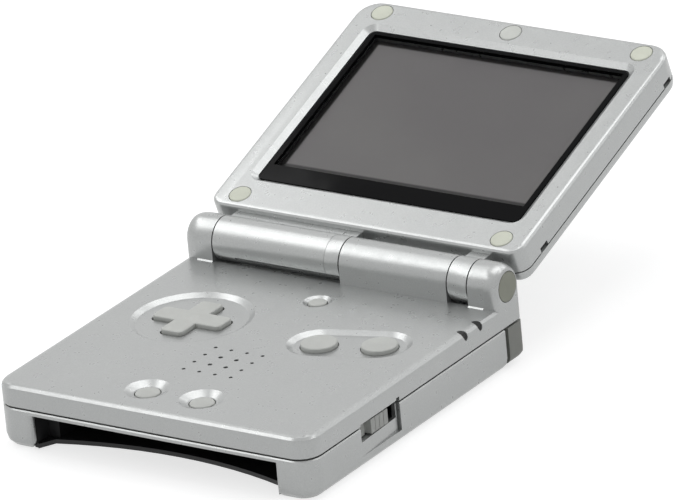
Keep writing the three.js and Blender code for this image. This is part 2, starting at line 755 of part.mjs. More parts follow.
function shortFillet(span) {
  const shape = polygon([
    [HINGE_Y - BARREL_R - KNUCKLE_FILLET, DECK_HEIGHT - SEAT],
    [HINGE_Y - BARREL_R + SEAT, DECK_HEIGHT - SEAT],
    [HINGE_Y - BARREL_R + SEAT, DECK_HEIGHT + KNUCKLE_FILLET],
    [HINGE_Y - BARREL_R, DECK_HEIGHT + KNUCKLE_FILLET],
    [HINGE_Y - BARREL_R - KNUCKLE_FILLET, DECK_HEIGHT],
  ]);
  return acrossWidth(shape, span);
}

function mirroredX([near, far], side) {
  return side > 0 ? [near, far] : [-far, -near];
}

function knuckles() {
  const leftInner = KNUCKLE_EDGES[0] - CLEAR / 2;
  const rightInner = KNUCKLE_EDGES[3] + CLEAR / 2;
  return [
    endKnuckle(-1, leftInner),
    endKnuckle(1, rightInner),
    shortFillet([-HALF + KNUCKLE_END_LENGTH, leftInner]),
    shortFillet([rightInner, HALF - KNUCKLE_END_LENGTH]),
    acrossWidth(knuckleOutline(), CENTRE_SPAN, LARGE_ROUND_SIDES / 4),
  ];
}

function hingeBoreCuts() {
  const cuts = [rodAlongX([-BORE_END, BORE_END], HINGE_Y, HINGE_Z, BORE_R)];
  const pocket = END_CAP_R + CLEAR / 2;
  const depth = END_CAP_DEPTH + CLEAR - END_CAP_PROUD;
  cuts.push(rodAlongX([HALF - depth, HALF + OVERRUN], HINGE_Y, HINGE_Z, pocket));
  cuts.push(rodAlongX([-HALF - OVERRUN, -HALF + depth], HINGE_Y, HINGE_Z, pocket));
  return cuts;
}

// The lid's barrels turn in round troughs in the deck, with a gap that shows as a dark band under them.
function troughCuts() {
  const radius = BARREL_R + TROUGH_GAP;
  return [
    rodAlongX([KNUCKLE_EDGES[0] - CLEAR / 2, KNUCKLE_EDGES[1] + CLEAR / 2], HINGE_Y, HINGE_Z, radius),
    rodAlongX([KNUCKLE_EDGES[2] - CLEAR / 2, KNUCKLE_EDGES[3] + CLEAR / 2], HINGE_Y, HINGE_Z, radius),
  ];
}

// An indicator's notch: a flat ball on the deck's side edge.
function lensBall(place, spare) {
  const reach = LENS_REACH - spare;
  const geometry = new THREE.SphereGeometry(reach, SMALL_ROUND_SIDES, TINY_ROUND_SIDES);
  geometry.scale(1, (LENS_WIDTH / 2 - spare) / reach, (LENS_DROP - spare) / reach);
  return solidOf(geometry.translate(HALF, BASE_DEPTH - place, DECK_HEIGHT));
}

function upperCavity() {
  const troughTop = HINGE_Z - BARREL_R - TROUGH_GAP - TROUGH_WALL;
  const troughFront = HINGE_Y - BARREL_R - TROUGH_GAP - TROUGH_WALL;
  const whole = plate(basePlan(SHELL_WALL), [SEAM_TOP - OVERRUN, DECK_UNDER]);
  const across = [-BASE_WIDTH, BASE_WIDTH];
  const hinge = box(across, [troughFront, BASE_DEPTH], [troughTop, DECK_HEIGHT]);
  const back = box(across, [shoulderWallFront(), BASE_DEPTH], [0, DECK_HEIGHT]);
  return whole.subtract(hinge).subtract(back);
}

function shoulderWallFront() {
  return BASE_DEPTH - SHOULDER_SIDE_DEPTH - SHOULDER_TRAVEL - NOTCH_WALL;
}

function screwBossesAbove() {
  const foot = BOARD_UNDER - CLEAR;
  return SCREW_PLACES.map(([x, y]) => rod(x, y, [foot, DECK_UNDER + SEAT], SCREW_BOSS_R));
}

function screwHolesAbove() {
  return SCREW_PLACES.map(([x, y]) => rod(x, y, [0, DECK_UNDER - SEAT], SCREW_R + CLEAR, TINY_ROUND_SIDES));
}

function baseUpperShell() {
  const levels = [...roundFoot(SEAM_TOP, SEAM_EDGE_R, CHAMFER_STEPS), ...roundTop(DECK_HEIGHT, DECK_EDGE_R)];
  const slab = stacked(levels, basePlan);
  const shell = slab.subtract(upperCavity());
  const full = joined([shell, ...dishBosses(), ...screwBossesAbove(), ...knuckles()]);
  return cut(full, [
    ...dishes(),
    ...buttonHoles(),
    ...speakerHoles(),
    ...hingeBoreCuts(),
    ...troughCuts(),
    ...screwHolesAbove(),
    ...LENS_PLACES.map((place) => lensBall(place, 0)),
    sideSlot(1, SWITCH_SLOT),
    sideSlot(-1, VOLUME_SLOT),
    recessNotch(),
  ]);
}

// Base lower shell

const CARD_TOP = SEAM_FOOT - CARD_STRIP;
const NOTCH_FRONT = shoulderWallFront() + NOTCH_WALL;
const NOTCH_INNER = SHOULDER_INNER_X - SHOULDER_SIDE_GAP;
const SHELF_END = NOTCH_INNER + SHOULDER_SHELF;
const BATTERY_X = [-HALF + BATTERY_LEFT_MARGIN, HALF - BATTERY_RIGHT_MARGIN];
const BATTERY_Y = [CONNECTOR_BACK + BATTERY_FRONT_GAP, BASE_DEPTH - BATTERY_BACK_MARGIN];
const COVER_X = [BATTERY_X[0] - COVER_MARGIN, BATTERY_X[1] + COVER_TAB];
const COVER_Y = [BATTERY_Y[0] - COVER_MARGIN, BATTERY_Y[1] + COVER_MARGIN];
const COVER_BOSS_TOP = BOARD_UNDER - COVER_BOSS_HEADROOM;
const COVER_SCREW = [COVER_X[1] - COVER_BOSS + OVERRUN, COVER_Y[0] + COVER_BOSS - OVERRUN];

function lowerCavity() {
  const whole = plate(basePlan(SHELL_WALL), [FLOOR_PLATE, SEAM_FOOT + OVERRUN]);
  const walls = [-1, 1].map((side) => box(
    mirroredX([NOTCH_INNER - NOTCH_WALL, BASE_WIDTH], side),
    [shoulderWallFront(), BASE_DEPTH + OVERRUN],
    [0, DECK_HEIGHT],
  ));
  return cut(whole, walls);
}

function shoulderNotches() {
  return [-1, 1].flatMap((side) => [
    box(mirroredX([NOTCH_INNER, BASE_WIDTH], side), [NOTCH_FRONT, BASE_DEPTH + OVERRUN],
      [FLOOR_PLATE + SEAT, DECK_HEIGHT]),
    box(
      mirroredX([SHELF_END, BASE_WIDTH], side),
      [NOTCH_FRONT, BASE_DEPTH + OVERRUN],
      [-OVERRUN, DECK_HEIGHT],
    ),
  ]);
}

// The mouth's cut widens in a quarter round, so that the legs' inner edges are rounded.
function flaredCut(top, radius) {
  const shape = new THREE.Shape();
  shape.moveTo(MOUTH_HALF, top);
  shape.lineTo(-MOUTH_HALF, top);
  shape.absarc(-MOUTH_HALF - radius, radius, radius, 0, -Math.PI / 2, true);
  shape.lineTo(-MOUTH_HALF - radius, -OVERRUN);
  shape.lineTo(MOUTH_HALF + radius, -OVERRUN);
  shape.absarc(MOUTH_HALF + radius, radius, radius, -Math.PI / 2, -Math.PI, true);
  return shape;
}

function cardMouthCuts() {
  const opening = LINER_HALF + CLEAR;
  const floor = [-OVERRUN, FLOOR_PLATE + SEAT];
  return [
    plate(flaredCut(SHELL_WALL + OVERRUN, LEG_EDGE_R), [-OVERRUN, CARD_TOP]),
    alongDepth(flaredCut(CARD_TOP, LEG_FOOT_R), [-OVERRUN, LIP_DEPTH / 2]),
    box([-opening, opening], [SHELL_WALL, LIP_DEPTH + CLEAR], floor),
    box([-MOUTH_HALF, MOUTH_HALF], [-OVERRUN, SHELL_WALL + OVERRUN], floor),
  ];
}

function screwBossesBelow() {
  const top = BOARD_UNDER - 2 * CLEAR;
  return SCREW_PLACES.map(([x, y]) => rod(x, y, [FLOOR_PLATE - SEAT, top], SCREW_BOSS_R));
}

function screwHolesBelow() {
  return SCREW_PLACES.flatMap(([x, y]) => [
    rod(x, y, [-OVERRUN, SCREW_RECESS], SCREW_HEAD_R + CLEAR),
    rod(x, y, [-OVERRUN, DECK_HEIGHT], SCREW_R + CLEAR, TINY_ROUND_SIDES),
  ]);
}

function coverOpening() {
  const x = [COVER_X[0] - CLEAR, COVER_X[1] + CLEAR];
  const y = [COVER_Y[0] - CLEAR, COVER_Y[1] + CLEAR];
  return plate(evenRect(x, y, COVER_CORNER_R + CLEAR), [-OVERRUN, FLOOR_PLATE + OVERRUN]);
}

function coverBoss() {
  const foot = FLOOR_PLATE + CLEAR;
  const outer = COVER_X[1] + CLEAR;
  const y = [COVER_SCREW[1] - COVER_BOSS / 2, COVER_SCREW[1] + COVER_BOSS / 2];
  const block = box([COVER_SCREW[0] - COVER_BOSS / 2, outer + COVER_BOSS / 2], y, [foot, COVER_BOSS_TOP]);
  const root = box([outer, outer + COVER_BOSS / 2], y, [FLOOR_PLATE - SEAT, foot + SEAT]);
  return block.add(root);
}

function socketOpenings() {
  const y = [BASE_DEPTH - SHELL_WALL - OVERRUN, BASE_DEPTH + OVERRUN];
  return [
    box([LINK_X - LINK_WIDTH / 2, LINK_X + LINK_WIDTH / 2], y, [SOCKET_FOOT, SEAM_FOOT - LINK_HEADROOM]),
    box([POWER_X - POWER_WIDTH / 2, POWER_X + POWER_WIDTH / 2], y, [SOCKET_FOOT, SEAM_FOOT - POWER_HEADROOM]),
  ];
}

function baseLowerShell() {
  const levels = [...roundFoot(0, FOOT_EDGE_R), ...roundTop(SEAM_FOOT, SEAM_EDGE_R, CHAMFER_STEPS)];
  const slab = stacked(levels, basePlan);
  const opened = slab.subtract(lowerCavity()).subtract(coverOpening());
  const full = joined([opened, ...screwBossesBelow(), coverBoss()]);
  return cut(full, [
    ...shoulderNotches(),
    ...cardMouthCuts(),
    ...screwHolesBelow(),
    ...socketOpenings(),
    rod(...COVER_SCREW, [-OVERRUN, DECK_HEIGHT], COVER_SCREW_R + CLEAR, TINY_ROUND_SIDES),
    sideSlot(1, SWITCH_SLOT),
    sideSlot(-1, VOLUME_SLOT),
    switchRecess(),
    recessGroove(),
  ]);
}

// Card slot: a black liner with a stepped mouth and a lower lip with a curved edge

const LINER_FRONT = SHELL_WALL + CLEAR;

function lipPlan() {
  const mouth = MOUTH_HALF - CLEAR;
  const ear = MOUTH_HALF - LIP_EAR;
  const sagitta = LIP_CENTRE - LIP_END;
  const radius = (ear * ear + sagitta * sagitta) / (2 * sagitta);
  const spread = Math.asin(ear / radius);
  const shape = new THREE.Shape();
  shape.moveTo(-LINER_HALF, LIP_DEPTH);
  shape.lineTo(-LINER_HALF, LINER_FRONT);
  shape.lineTo(-mouth, LINER_FRONT);
  shape.lineTo(-mouth, LIP_FRONT);
  shape.absarc(0, LIP_CENTRE - radius, radius, Math.PI / 2 + spread, Math.PI / 2 - spread, true);
  shape.lineTo(mouth, LIP_FRONT);
  shape.lineTo(mouth, LINER_FRONT);
  shape.lineTo(LINER_HALF, LINER_FRONT);
  shape.lineTo(LINER_HALF, LIP_DEPTH);
  return shape;
}

function cardSlotLiner() {
  const foot = FLOOR_PLATE + SEAT;
  const top = Math.min(CARD_TOP - SEAT, BOARD_UNDER - CLEAR);
  const stepEnd = CARD_MOUTH_DEPTH + LINER_STEP;
  const outer = SLOT_HALF + LINER_STEP;
  const wide = box([-LINER_HALF, LINER_HALF], [LINER_FRONT, stepEnd], [foot, top]);
  const narrow = box([-outer, outer], [CARD_MOUTH_DEPTH, CARD_SLOT_DEPTH], [foot, top]);
  const lip = plate(lipPlan(), [LIP_RISE, foot + SEAT], 2 * CORNER_STEPS);
  const inside = [foot - SEAT, top - LINER_WALL];
  return cut(joined([wide, narrow, lip]), [
    box([-MOUTH_HALF, MOUTH_HALF], [0, CARD_MOUTH_DEPTH], inside),
    box([-SLOT_HALF, SLOT_HALF], [0, CARD_SLOT_DEPTH + OVERRUN], inside),
  ]);
}

function cardConnector() {
  const x = [-CONNECTOR_HALF, CONNECTOR_HALF];
  const y = [CONNECTOR_BACK - CONNECTOR_DEPTH, CONNECTOR_BACK];
  const z = [FLOOR_PLATE + CONNECTOR_LIFT, BOARD_UNDER - SEAT];
  const middle = (z[0] + z[1]) / 2;
  const groove = box(
    [x[0] + CONNECTOR_GROOVE, x[1] - CONNECTOR_GROOVE],
    [y[0] - OVERRUN, y[1] - CONNECTOR_GROOVE],
    [middle - CONNECTOR_GROOVE / 2, middle + CONNECTOR_GROOVE / 2],
  );
  return box(x, y, z).subtract(groove);
}

// Battery, its cover and the cover's screw

function batteryPack() {
  const z = [FLOOR_PLATE + CLEAR, BOARD_UNDER - BATTERY_HEADROOM];
  return softPlate(evenRect(BATTERY_X, BATTERY_Y, COVER_CORNER_R), z, CLEAR, CHAMFER_STEPS);
}

function batteryCover() {
  const whole = plate(evenRect(COVER_X, COVER_Y, COVER_CORNER_R), [COVER_RECESS, FLOOR_PLATE]);
  return cut(whole, [
    rod(...COVER_SCREW, [-OVERRUN, FLOOR_PLATE / 2 + SEAT], COVER_SCREW_HEAD_R + CLEAR),
    rod(...COVER_SCREW, [-OVERRUN, FLOOR_PLATE + OVERRUN], COVER_SCREW_R + CLEAR, TINY_ROUND_SIDES),
  ]);
}

// A screw standing on its head, with a cross slot in the head.
function screw([x, y], foot, head, headRadius, radius, tip) {
  const neck = foot + head;
  const body = turned(x, y, [
    [0, foot], [headRadius, foot], [headRadius, neck], [radius, neck], [radius, tip - radius], [0, tip],
  ]);
  const reach = headRadius / 2;
  const slot = head / 2;
  return cut(body, [
    box([x - reach, x + reach], [y - slot / 2, y + slot / 2], [foot - OVERRUN, foot + slot]),
    box([x - slot / 2, x + slot / 2], [y - reach, y + reach], [foot - OVERRUN, foot + slot]),
  ]);
}

function coverScrew() {
  const head = FLOOR_PLATE / 2 - COVER_RECESS;
  const tip = COVER_BOSS_TOP - COVER_SCREW_SPARE;
  return screw(COVER_SCREW, COVER_RECESS, head, COVER_SCREW_HEAD_R, COVER_SCREW_R, tip);
}

function baseScrew(place) {
  const foot = SCREW_RECESS - SCREW_HEAD - SEAT;
  return screw(place, foot, SCREW_HEAD, SCREW_HEAD_R, SCREW_R, BOARD_UNDER - CLEAR + SCREW_BITE);
}

// Main board, rubber contacts and speaker

function mainBoard() {
  const half = HALF - BOARD_SIDE_MARGIN;
  const y = [BOARD_FRONT_MARGIN, BASE_DEPTH - BOARD_BACK_MARGIN];
  return plate(evenRect([-half, half], y, BOARD_CORNER_R), [BOARD_UNDER, BOARD_TOP]);
}

function dome([x, y], height) {
  return turned(x, y, [
    [0, RUBBER_TOP - SEAT],
    [RUBBER_DOME_R, RUBBER_TOP - SEAT],
    [RUBBER_DOME_R, RUBBER_TOP],
    [RUBBER_DOME_R / 2, RUBBER_TOP + height],
    [0, RUBBER_TOP + height],
  ], TINY_ROUND_SIDES * 2);
}

function sheetUnder(places, radius) {
  const shape = pill(places[0], places[1], radius);
  const domes = places.map((place) => dome(place, RUBBER_DOME));
  return joined([plate(shape, [RUBBER_FOOT, RUBBER_TOP]), ...domes]);
}

function directionRubber() {
  const [x, y] = D_PAD_PLACE;
  const reach = D_PAD_FLANGE_R - RUBBER_DOME_R;
  const sheet = rod(x, y, [RUBBER_FOOT, RUBBER_TOP], D_PAD_FLANGE_R + RUBBER_MARGIN, LARGE_ROUND_SIDES);
  const ends = [[x + reach, y], [x - reach, y], [x, y + reach], [x, y - reach]];
  return joined([sheet, ...ends.map((place) => dome(place, ROCK_DOME))]);
}

function lightRubber() {
  const sheet = rod(...LIGHT_PLACE, [RUBBER_FOOT, RUBBER_TOP], LIGHT_R + RUBBER_MARGIN);
  return sheet.add(dome(LIGHT_PLACE, RUBBER_DOME));
}

function speaker() {
  const top = DECK_UNDER - CLEAR;
  const foot = top - SPEAKER_HEIGHT;
  const rim = SPEAKER_HEIGHT / 4;
  return turned(...SPEAKER_PLACE, [
    [0, foot],
    [SPEAKER_R / 2, foot],
    [SPEAKER_R / 2, foot + rim],
    [SPEAKER_R, foot + 2 * rim],
    [SPEAKER_R, top],
    [SPEAKER_R - rim, top],
    [SPEAKER_R / 2, top - rim],
    [0, top - rim],
  ], LARGE_ROUND_SIDES);
}

// Buttons

function roundButton([x, y], radius, drop) {
  const top = DECK_HEIGHT - drop;
  const edge = roundTop(top - BUTTON_CROWN, BUTTON_EDGE_R).map(([inset, height]) => [radius - inset, height]);
  return turned(x, y, [
    [0, FLANGE_FOOT],
    [radius + BUTTON_LIP, FLANGE_FOOT],
    [radius + BUTTON_LIP, FLANGE_TOP],
    [radius, FLANGE_TOP],
    ...edge,
    [radius / 2, top - BUTTON_CROWN / 4],
    [0, top],
  ], LARGE_ROUND_SIDES);
}

const ROCK_FLANGE_TOP = BOSS_UNDER - D_PAD_FLANGE_GAP;
const ROCK_FLANGE_FOOT = ROCK_FLANGE_TOP - D_PAD_FLANGE;

function directionPad() {
  const [x, y] = D_PAD_PLACE;
  const top = DECK_HEIGHT - D_PAD_DROP;
  const cross = crossSolid(0, [ROCK_FLANGE_FOOT + SEAT, top], D_PAD_EDGE_R);
  const flange = rod(x, y, [ROCK_FLANGE_FOOT, ROCK_FLANGE_TOP], D_PAD_FLANGE_R, LARGE_ROUND_SIDES);
  const dimple = turned(x, y, [
    [0, top - BUTTON_CROWN], [D_PAD_ARM_WIDTH / 4, top - BUTTON_CROWN / 2], [D_PAD_ARM_WIDTH / 2, top + SEAT],
    [0, top + SEAT],
  ]);
  return cross.add(flange).subtract(dimple);
}

function directionPivot() {
  const top = ROCK_FLANGE_FOOT - CLEAR;
  return turned(...D_PAD_PLACE, [
    [0, top - PIVOT_HEIGHT],
    [PIVOT_R, top - PIVOT_HEIGHT],
    [PIVOT_R, top - SEAT],
    [PIVOT_R / 2, top],
    [0, top],
  ]);
}

// Shoulder buttons, their pins and springs

const SHOULDER_TOP = SEAM_TOP - RUNNING;
const SHOULDER_FRONT = BASE_DEPTH - SHOULDER_SIDE_DEPTH;
const PIN_X = SHOULDER_INNER_X + SHOULDER_PIN_INSET;
const PIN_Y = BASE_DEPTH - SHOULDER_ARM / 2;

// The button seen from the side: it leans in at its top and is rounded at its back foot.
function shoulderProfile(radius) {
  const shape = new THREE.Shape();
  shape.moveTo(SHOULDER_FRONT, SHOULDER_TOP);
  shape.lineTo(SHOULDER_FRONT, SHOULDER_FOOT);
  shape.absarc(BASE_DEPTH - radius, SHOULDER_FOOT + radius, radius, -Math.PI / 2, 0);
  shape.lineTo(BASE_DEPTH - SHOULDER_LEAN, SHOULDER_TOP);
  return shape;
}

function shoulderButton(side) {
  const step = SHELF_END + CLEAR;
  const heights = [SHOULDER_FOOT, DECK_HEIGHT + SHOULDER_SIDE_R];
  const plan = plate(evenRect([-HALF, HALF], [0, BASE_DEPTH], SHOULDER_CORNER_R), heights);
  const front = alongDepth(evenRect([-HALF, HALF], heights, SHOULDER_SIDE_R), [0, BASE_DEPTH]);
  const arm = acrossWidth(shoulderProfile(SHOULDER_ARM_R), mirroredX([SHOULDER_INNER_X, step], side));
  const endSpan = mirroredX([step - SEAT, HALF], side);
  const end = acrossWidth(shoulderProfile(SHOULDER_BACK_R), endSpan, 2 * CORNER_STEPS);
  const armFront = BASE_DEPTH - SHOULDER_ARM;
  return cut(arm.add(end).intersect(plan).intersect(front), [
    box(mirroredX([0, HALF - SHOULDER_CORNER], side), [0, armFront], [-OVERRUN, DECK_HEIGHT]),
    box(mirroredX([0, step], side), [0, BASE_DEPTH + OVERRUN], [-OVERRUN, FLOOR_PLATE + SEAT + CLEAR]),
    rod(side * PIN_X, PIN_Y, [-OVERRUN, DECK_HEIGHT], SHOULDER_PIN_R + CLEAR),
  ]);
}

function shoulderPin(side) {
  const heights = [FLOOR_PLATE + 2 * SEAT, SEAM_TOP - SEAT];
  return rod(side * PIN_X, PIN_Y, heights, SHOULDER_PIN_R, TINY_ROUND_SIDES * 2);
}

function shoulderSpring(side) {
  const away = HALF - SHOULDER_SPRING_MARGIN;
  const swing = SHOULDER_TRAVEL * (away - PIN_X) / (HALF - PIN_X);
  const y = [NOTCH_FRONT + SEAT, BASE_DEPTH - SHOULDER_ARM - swing - SEAT];
  const z = (FLOOR_PLATE + SHOULDER_TOP) / 2;
  const x = side * away;
  const bore = SHOULDER_SPRING_R - SHOULDER_SPRING_WALL;
  const hole = rodAlongY(x, [y[0] - OVERRUN, y[1] + OVERRUN], z, bore, TINY_ROUND_SIDES * 2);
  return rodAlongY(x, y, z, SHOULDER_SPRING_R, TINY_ROUND_SIDES * 2).subtract(hole);
}

// Side knobs and the control bodies behind them

const KNOB_INNER = INNER_HALF - SWITCH_PLATE + RUNNING / 2;

function sideKnob(side, plateSpan, gripSpan) {
  const face = KNOB_INNER + SWITCH_PLATE;
  const outer = face + SWITCH_GRIP_PROUD;
  const plateX = mirroredX([KNOB_INNER, face], side);
  const gripX = mirroredX([face - SEAT, outer], side);
  const knob = box(plateX, plateSpan, KNOB_BAND).add(box(gripX, gripSpan, KNOB_BAND));
  const pitch = (gripSpan[1] - gripSpan[0]) / KNOB_RIBS;
  const grooves = [];
  for (let i = 1; i < KNOB_RIBS; i += 1) {
    const y = gripSpan[0] + i * pitch;
    const x = mirroredX([outer - KNOB_GROOVE, outer + OVERRUN], side);
    grooves.push(box(x, [y - KNOB_GROOVE / 2, y + KNOB_GROOVE / 2], [0, DECK_HEIGHT]));
  }
  return cut(knob, grooves);
}

function powerKnob() {
  const plateSpan = [SWITCH_SLOT[0] + CLEAR, SWITCH_SLOT[0] + CLEAR + SWITCH_PLATE_LENGTH];
  const gripFront = plateSpan[1] - SWITCH_GRIP_LENGTH;
  const stepDepth = [gripFront - SWITCH_STEP_GROOVE, gripFront];
  const step = box([KNOB_INNER + SWITCH_PLATE / 2, HALF], stepDepth, KNOB_BAND);
  return sideKnob(1, plateSpan, [gripFront, plateSpan[1]]).subtract(step);
}

function volumeKnob() {
  const middle = (VOLUME_SLOT[0] + VOLUME_SLOT[1]) / 2;
  const span = [middle - VOLUME_PLATE_LENGTH / 2, middle + VOLUME_PLATE_LENGTH / 2];
  return sideKnob(-1, span, [span[0] + OVERRUN, span[1] - OVERRUN]);
}

function controlBody(side, slot) {
  const outer = KNOB_INNER - RUNNING;
  const top = BOARD_UNDER - SEAT;
  return box(mirroredX([outer - SWITCH_BODY_WIDTH, outer], side), [slot[0] + CLEAR, slot[1] - CLEAR],
    [top - SWITCH_BODY_HEIGHT, top]);
}

// Sockets at the back

function socket(middle, width, top) {
  const back = BASE_DEPTH - SHELL_WALL - CLEAR;
  const y = [back - SOCKET_DEPTH, back];
  const half = width / 2;
  const outer = box([middle - half - SOCKET_WALL, middle + half + SOCKET_WALL], y,
    [SOCKET_FOOT - SOCKET_WALL, top + SOCKET_WALL]);
  const insideDepth = [y[0] + SOCKET_BACK, back + OVERRUN];
  const inside = box([middle - half, middle + half], insideDepth, [SOCKET_FOOT, top]);
  const level = (SOCKET_FOOT + top) / 2;
  const tongue = box([middle - half / 2, middle + half / 2], [y[0] + SOCKET_BACK - SEAT, back - OVERRUN],
    [level - SOCKET_TONGUE / 2, level + SOCKET_TONGUE / 2]);
  return outer.subtract(inside).add(tongue);
}

// Indicator lenses follow the deck's rounded edge, a little below it.
const LENS_PLACES = [LENS_BACK_MARGIN + LENS_PITCH, LENS_BACK_MARGIN];

function indicatorLens(place) {
  const edge = roundTop(DECK_HEIGHT - SEAT, DECK_EDGE_R).map(([inset, height]) => [inset + SEAT, height]);
  return stacked([[SEAT, SEAM_TOP], ...edge], basePlan).intersect(lensBall(place, SEAT));
}

// Hinge pieces fixed to the base

function endCap(side) {
  const outer = HALF + END_CAP_PROUD;
  const x = mirroredX([outer - END_CAP_DEPTH, outer], side);
  return rodAlongX(x, HINGE_Y, HINGE_Z, END_CAP_R);
}

const CLICK_UNIT_INNER = SHORT_BARREL_SPAN[0] - CLICK_UNIT_REACH;

function clickUnit() {
  const outer = [SHORT_BARREL_SPAN[1] + CLEAR, BORE_END - CLEAR];
  const shaft = [CLICK_UNIT_INNER, SHORT_BARREL_SPAN[1] + OVERRUN];
  const flange = rodAlongX(outer, HINGE_Y, HINGE_Z, BORE_R - CLEAR, SMALL_ROUND_SIDES);
  return flange.add(rodAlongX(shaft, HINGE_Y, HINGE_Z, BORE_R - 2 * CLEAR, SMALL_ROUND_SIDES));
}

function leftPin() {
  const inner = LONG_BARREL_SPAN[0] + LEFT_PIN_REACH;
  return rodAlongX([-BORE_END + CLEAR, inner], HINGE_Y, HINGE_Z, BORE_R - CLEAR, SMALL_ROUND_SIDES);
}

// Lid, drawn from the hinge axis: x across, y along the lid, z out of its screen face

const LID_END = HINGE_Y - LID_SETBACK;
const FACE = AXIS_RISE - LID_FACE_GAP;
const LID_BACK = FACE - LID_THICKNESS;
const PARTING = FACE - LID_FRONT_DEPTH;
const REAR_TOP = PARTING - CLEAR;
const WINDOW_X = HALF - WINDOW_SIDE_MARGIN;
const WINDOW_Y = [LID_START + WINDOW_FOOT_MARGIN, LID_END - WINDOW_HEAD_MARGIN];
const RECESS_FLOOR = FACE - WINDOW_BEVEL;
const WINDOW_UNDER = RECESS_FLOOR - WINDOW_THICKNESS;
const LEDGE_TOP = WINDOW_UNDER - CLEAR;
const LEDGE_UNDER = LEDGE_TOP - WINDOW_LEDGE;
const PANEL_TOP = WINDOW_UNDER - PANEL_GAP;
const PANEL_UNDER = PANEL_TOP - PANEL_THICKNESS;
const PANEL_HALF = HALF - PANEL_SIDE_MARGIN;
const PANEL_Y = [LID_START + PANEL_FOOT_MARGIN, LID_END - PANEL_HEAD_MARGIN];
const LID_CAVITY_TOP = FACE - LID_FACE_PLATE;

function lidPlan(inset = 0) {
  const x = [-HALF + inset, HALF - inset];
  const y = [LID_START + inset, LID_END - inset];
  const foot = LID_FOOT_CORNER_R - inset;
  const head = LID_HEAD_CORNER_R - inset;
  return roundedRect(x, y, [foot, foot, head, head]);
}

function windowOutline(inset) {
  const x = WINDOW_X - inset;
  const y = [WINDOW_Y[0] + inset, WINDOW_Y[1] - inset];
  return evenRect([-x, x], y, WINDOW_CORNER_R - inset);
}

function panelBox(spare, z) {
  const half = PANEL_HALF + spare;
  return box([-half, half], [PANEL_Y[0] - spare, PANEL_Y[1] + spare], z);
}

const PAD_PLACES = [
  [-HALF + PAD_SIDE_MARGIN, LID_START + PAD_FOOT_MARGIN],
  [HALF - PAD_SIDE_MARGIN, LID_START + PAD_FOOT_MARGIN],
  [HALF - PAD_SIDE_MARGIN, LID_END - PAD_HEAD_MARGIN],
  [0, LID_END - PAD_HEAD_MARGIN],
  [-HALF + PAD_SIDE_MARGIN, LID_END - PAD_HEAD_MARGIN],
];

function lidFrontCavity() {
  const whole = plate(lidPlan(LID_WALL), [PARTING - OVERRUN, LID_CAVITY_TOP]);
  const half = WINDOW_X + LEDGE_MARGIN;
  const ledgeDepth = [WINDOW_Y[0] - LEDGE_MARGIN, WINDOW_Y[1] + LEDGE_MARGIN];
  const ledge = box([-half, half], ledgeDepth, [LEDGE_UNDER, FACE]);
  return whole.subtract(ledge);
}

// A barrel of the lid and the web to the lid's foot, with a top that falls away from the barrel.
function barrel(span) {
  const top = FACE - WEB_BARREL_DROP;
  const start = Math.sqrt(BARREL_R * BARREL_R - top * top);
  const end = LID_START + LID_WALL / 2;
  const web = polygon([
    [BARREL_R / 2, PARTING],
    [end, PARTING],
    [end, FACE - WEB_FOOT_DROP],
    [start, top],
    [BARREL_R / 2, top],
  ]);
  return rodAlongX(span, 0, 0, BARREL_R).add(acrossWidth(web, span));
}

function flexSlot() {
  const left = LONG_BARREL_SPAN[0] + FLEX_INSET;
  const x = [left - CLEAR, left + FLEX_WIDTH + CLEAR];
  return box(x, [0, LID_START + LID_WALL + OVERRUN], [-FLEX_SLOT_HEIGHT / 2, FLEX_SLOT_HEIGHT / 2]);
}

// The groove where the barrel's two halves meet, low on its front, with a short tick down at its start.
function barrelSplit() {
  const start = LONG_BARREL_SPAN[0] + BARREL_SPLIT_START;
  const end = LONG_BARREL_SPAN[1] + OVERRUN;
  const line = new THREE.BoxGeometry(end - start, 2 * BARREL_SPLIT, BARREL_SPLIT);
  line.translate((start + end) / 2, -BARREL_R, 0);
  const tick = new THREE.BoxGeometry(BARREL_SPLIT, 2 * BARREL_SPLIT, BARREL_SPLIT_TICK);
  tick.translate(start + BARREL_SPLIT / 2, -BARREL_R, -BARREL_SPLIT_TICK / 2);
  const fall = THREE.MathUtils.degToRad(OPEN_ANGLE - 180 + BARREL_SPLIT_FALL);
  return solidOf(line.rotateX(fall)).add(solidOf(tick.rotateX(fall)));
}

function barrelRing() {
  const x = LONG_BARREL_SPAN[1] - BARREL_RING_MARGIN;
  const core = rodAlongX([x - OVERRUN, x + OVERRUN], 0, 0, BARREL_R - BARREL_RING_DEPTH);
  return rodAlongX([x, x + BARREL_RING_WIDTH], 0, 0, BARREL_R + OVERRUN).subtract(core);
}

function latchSlots() {
  const z = [PARTING - OVERRUN, PARTING + LATCH_SLOT_HEIGHT];
  const middles = [LID_START + LATCH_SLOT_MARGIN + LATCH_SLOT_LENGTH / 2,
    LID_END - LATCH_SLOT_MARGIN + LATCH_SLOT_LENGTH / 2];
  return middles.flatMap((middle) => [-1, 1].map((side) => box(
    mirroredX([HALF - LATCH_SLOT_DEPTH, HALF + OVERRUN], side),
    [middle - LATCH_SLOT_LENGTH / 2, middle + LATCH_SLOT_LENGTH / 2],
    z,
  )));
}

function padPockets() {
  return PAD_PLACES.flatMap(([x, y]) => [
    rod(x, y, [FACE - PAD_POCKET_DEPTH, FACE + OVERRUN], PAD_R + CLEAR / 2, LARGE_ROUND_SIDES),
    rod(x, y, [LID_BACK, FACE], LID_SCREW_R + CLEAR, TINY_ROUND_SIDES),
  ]);
}

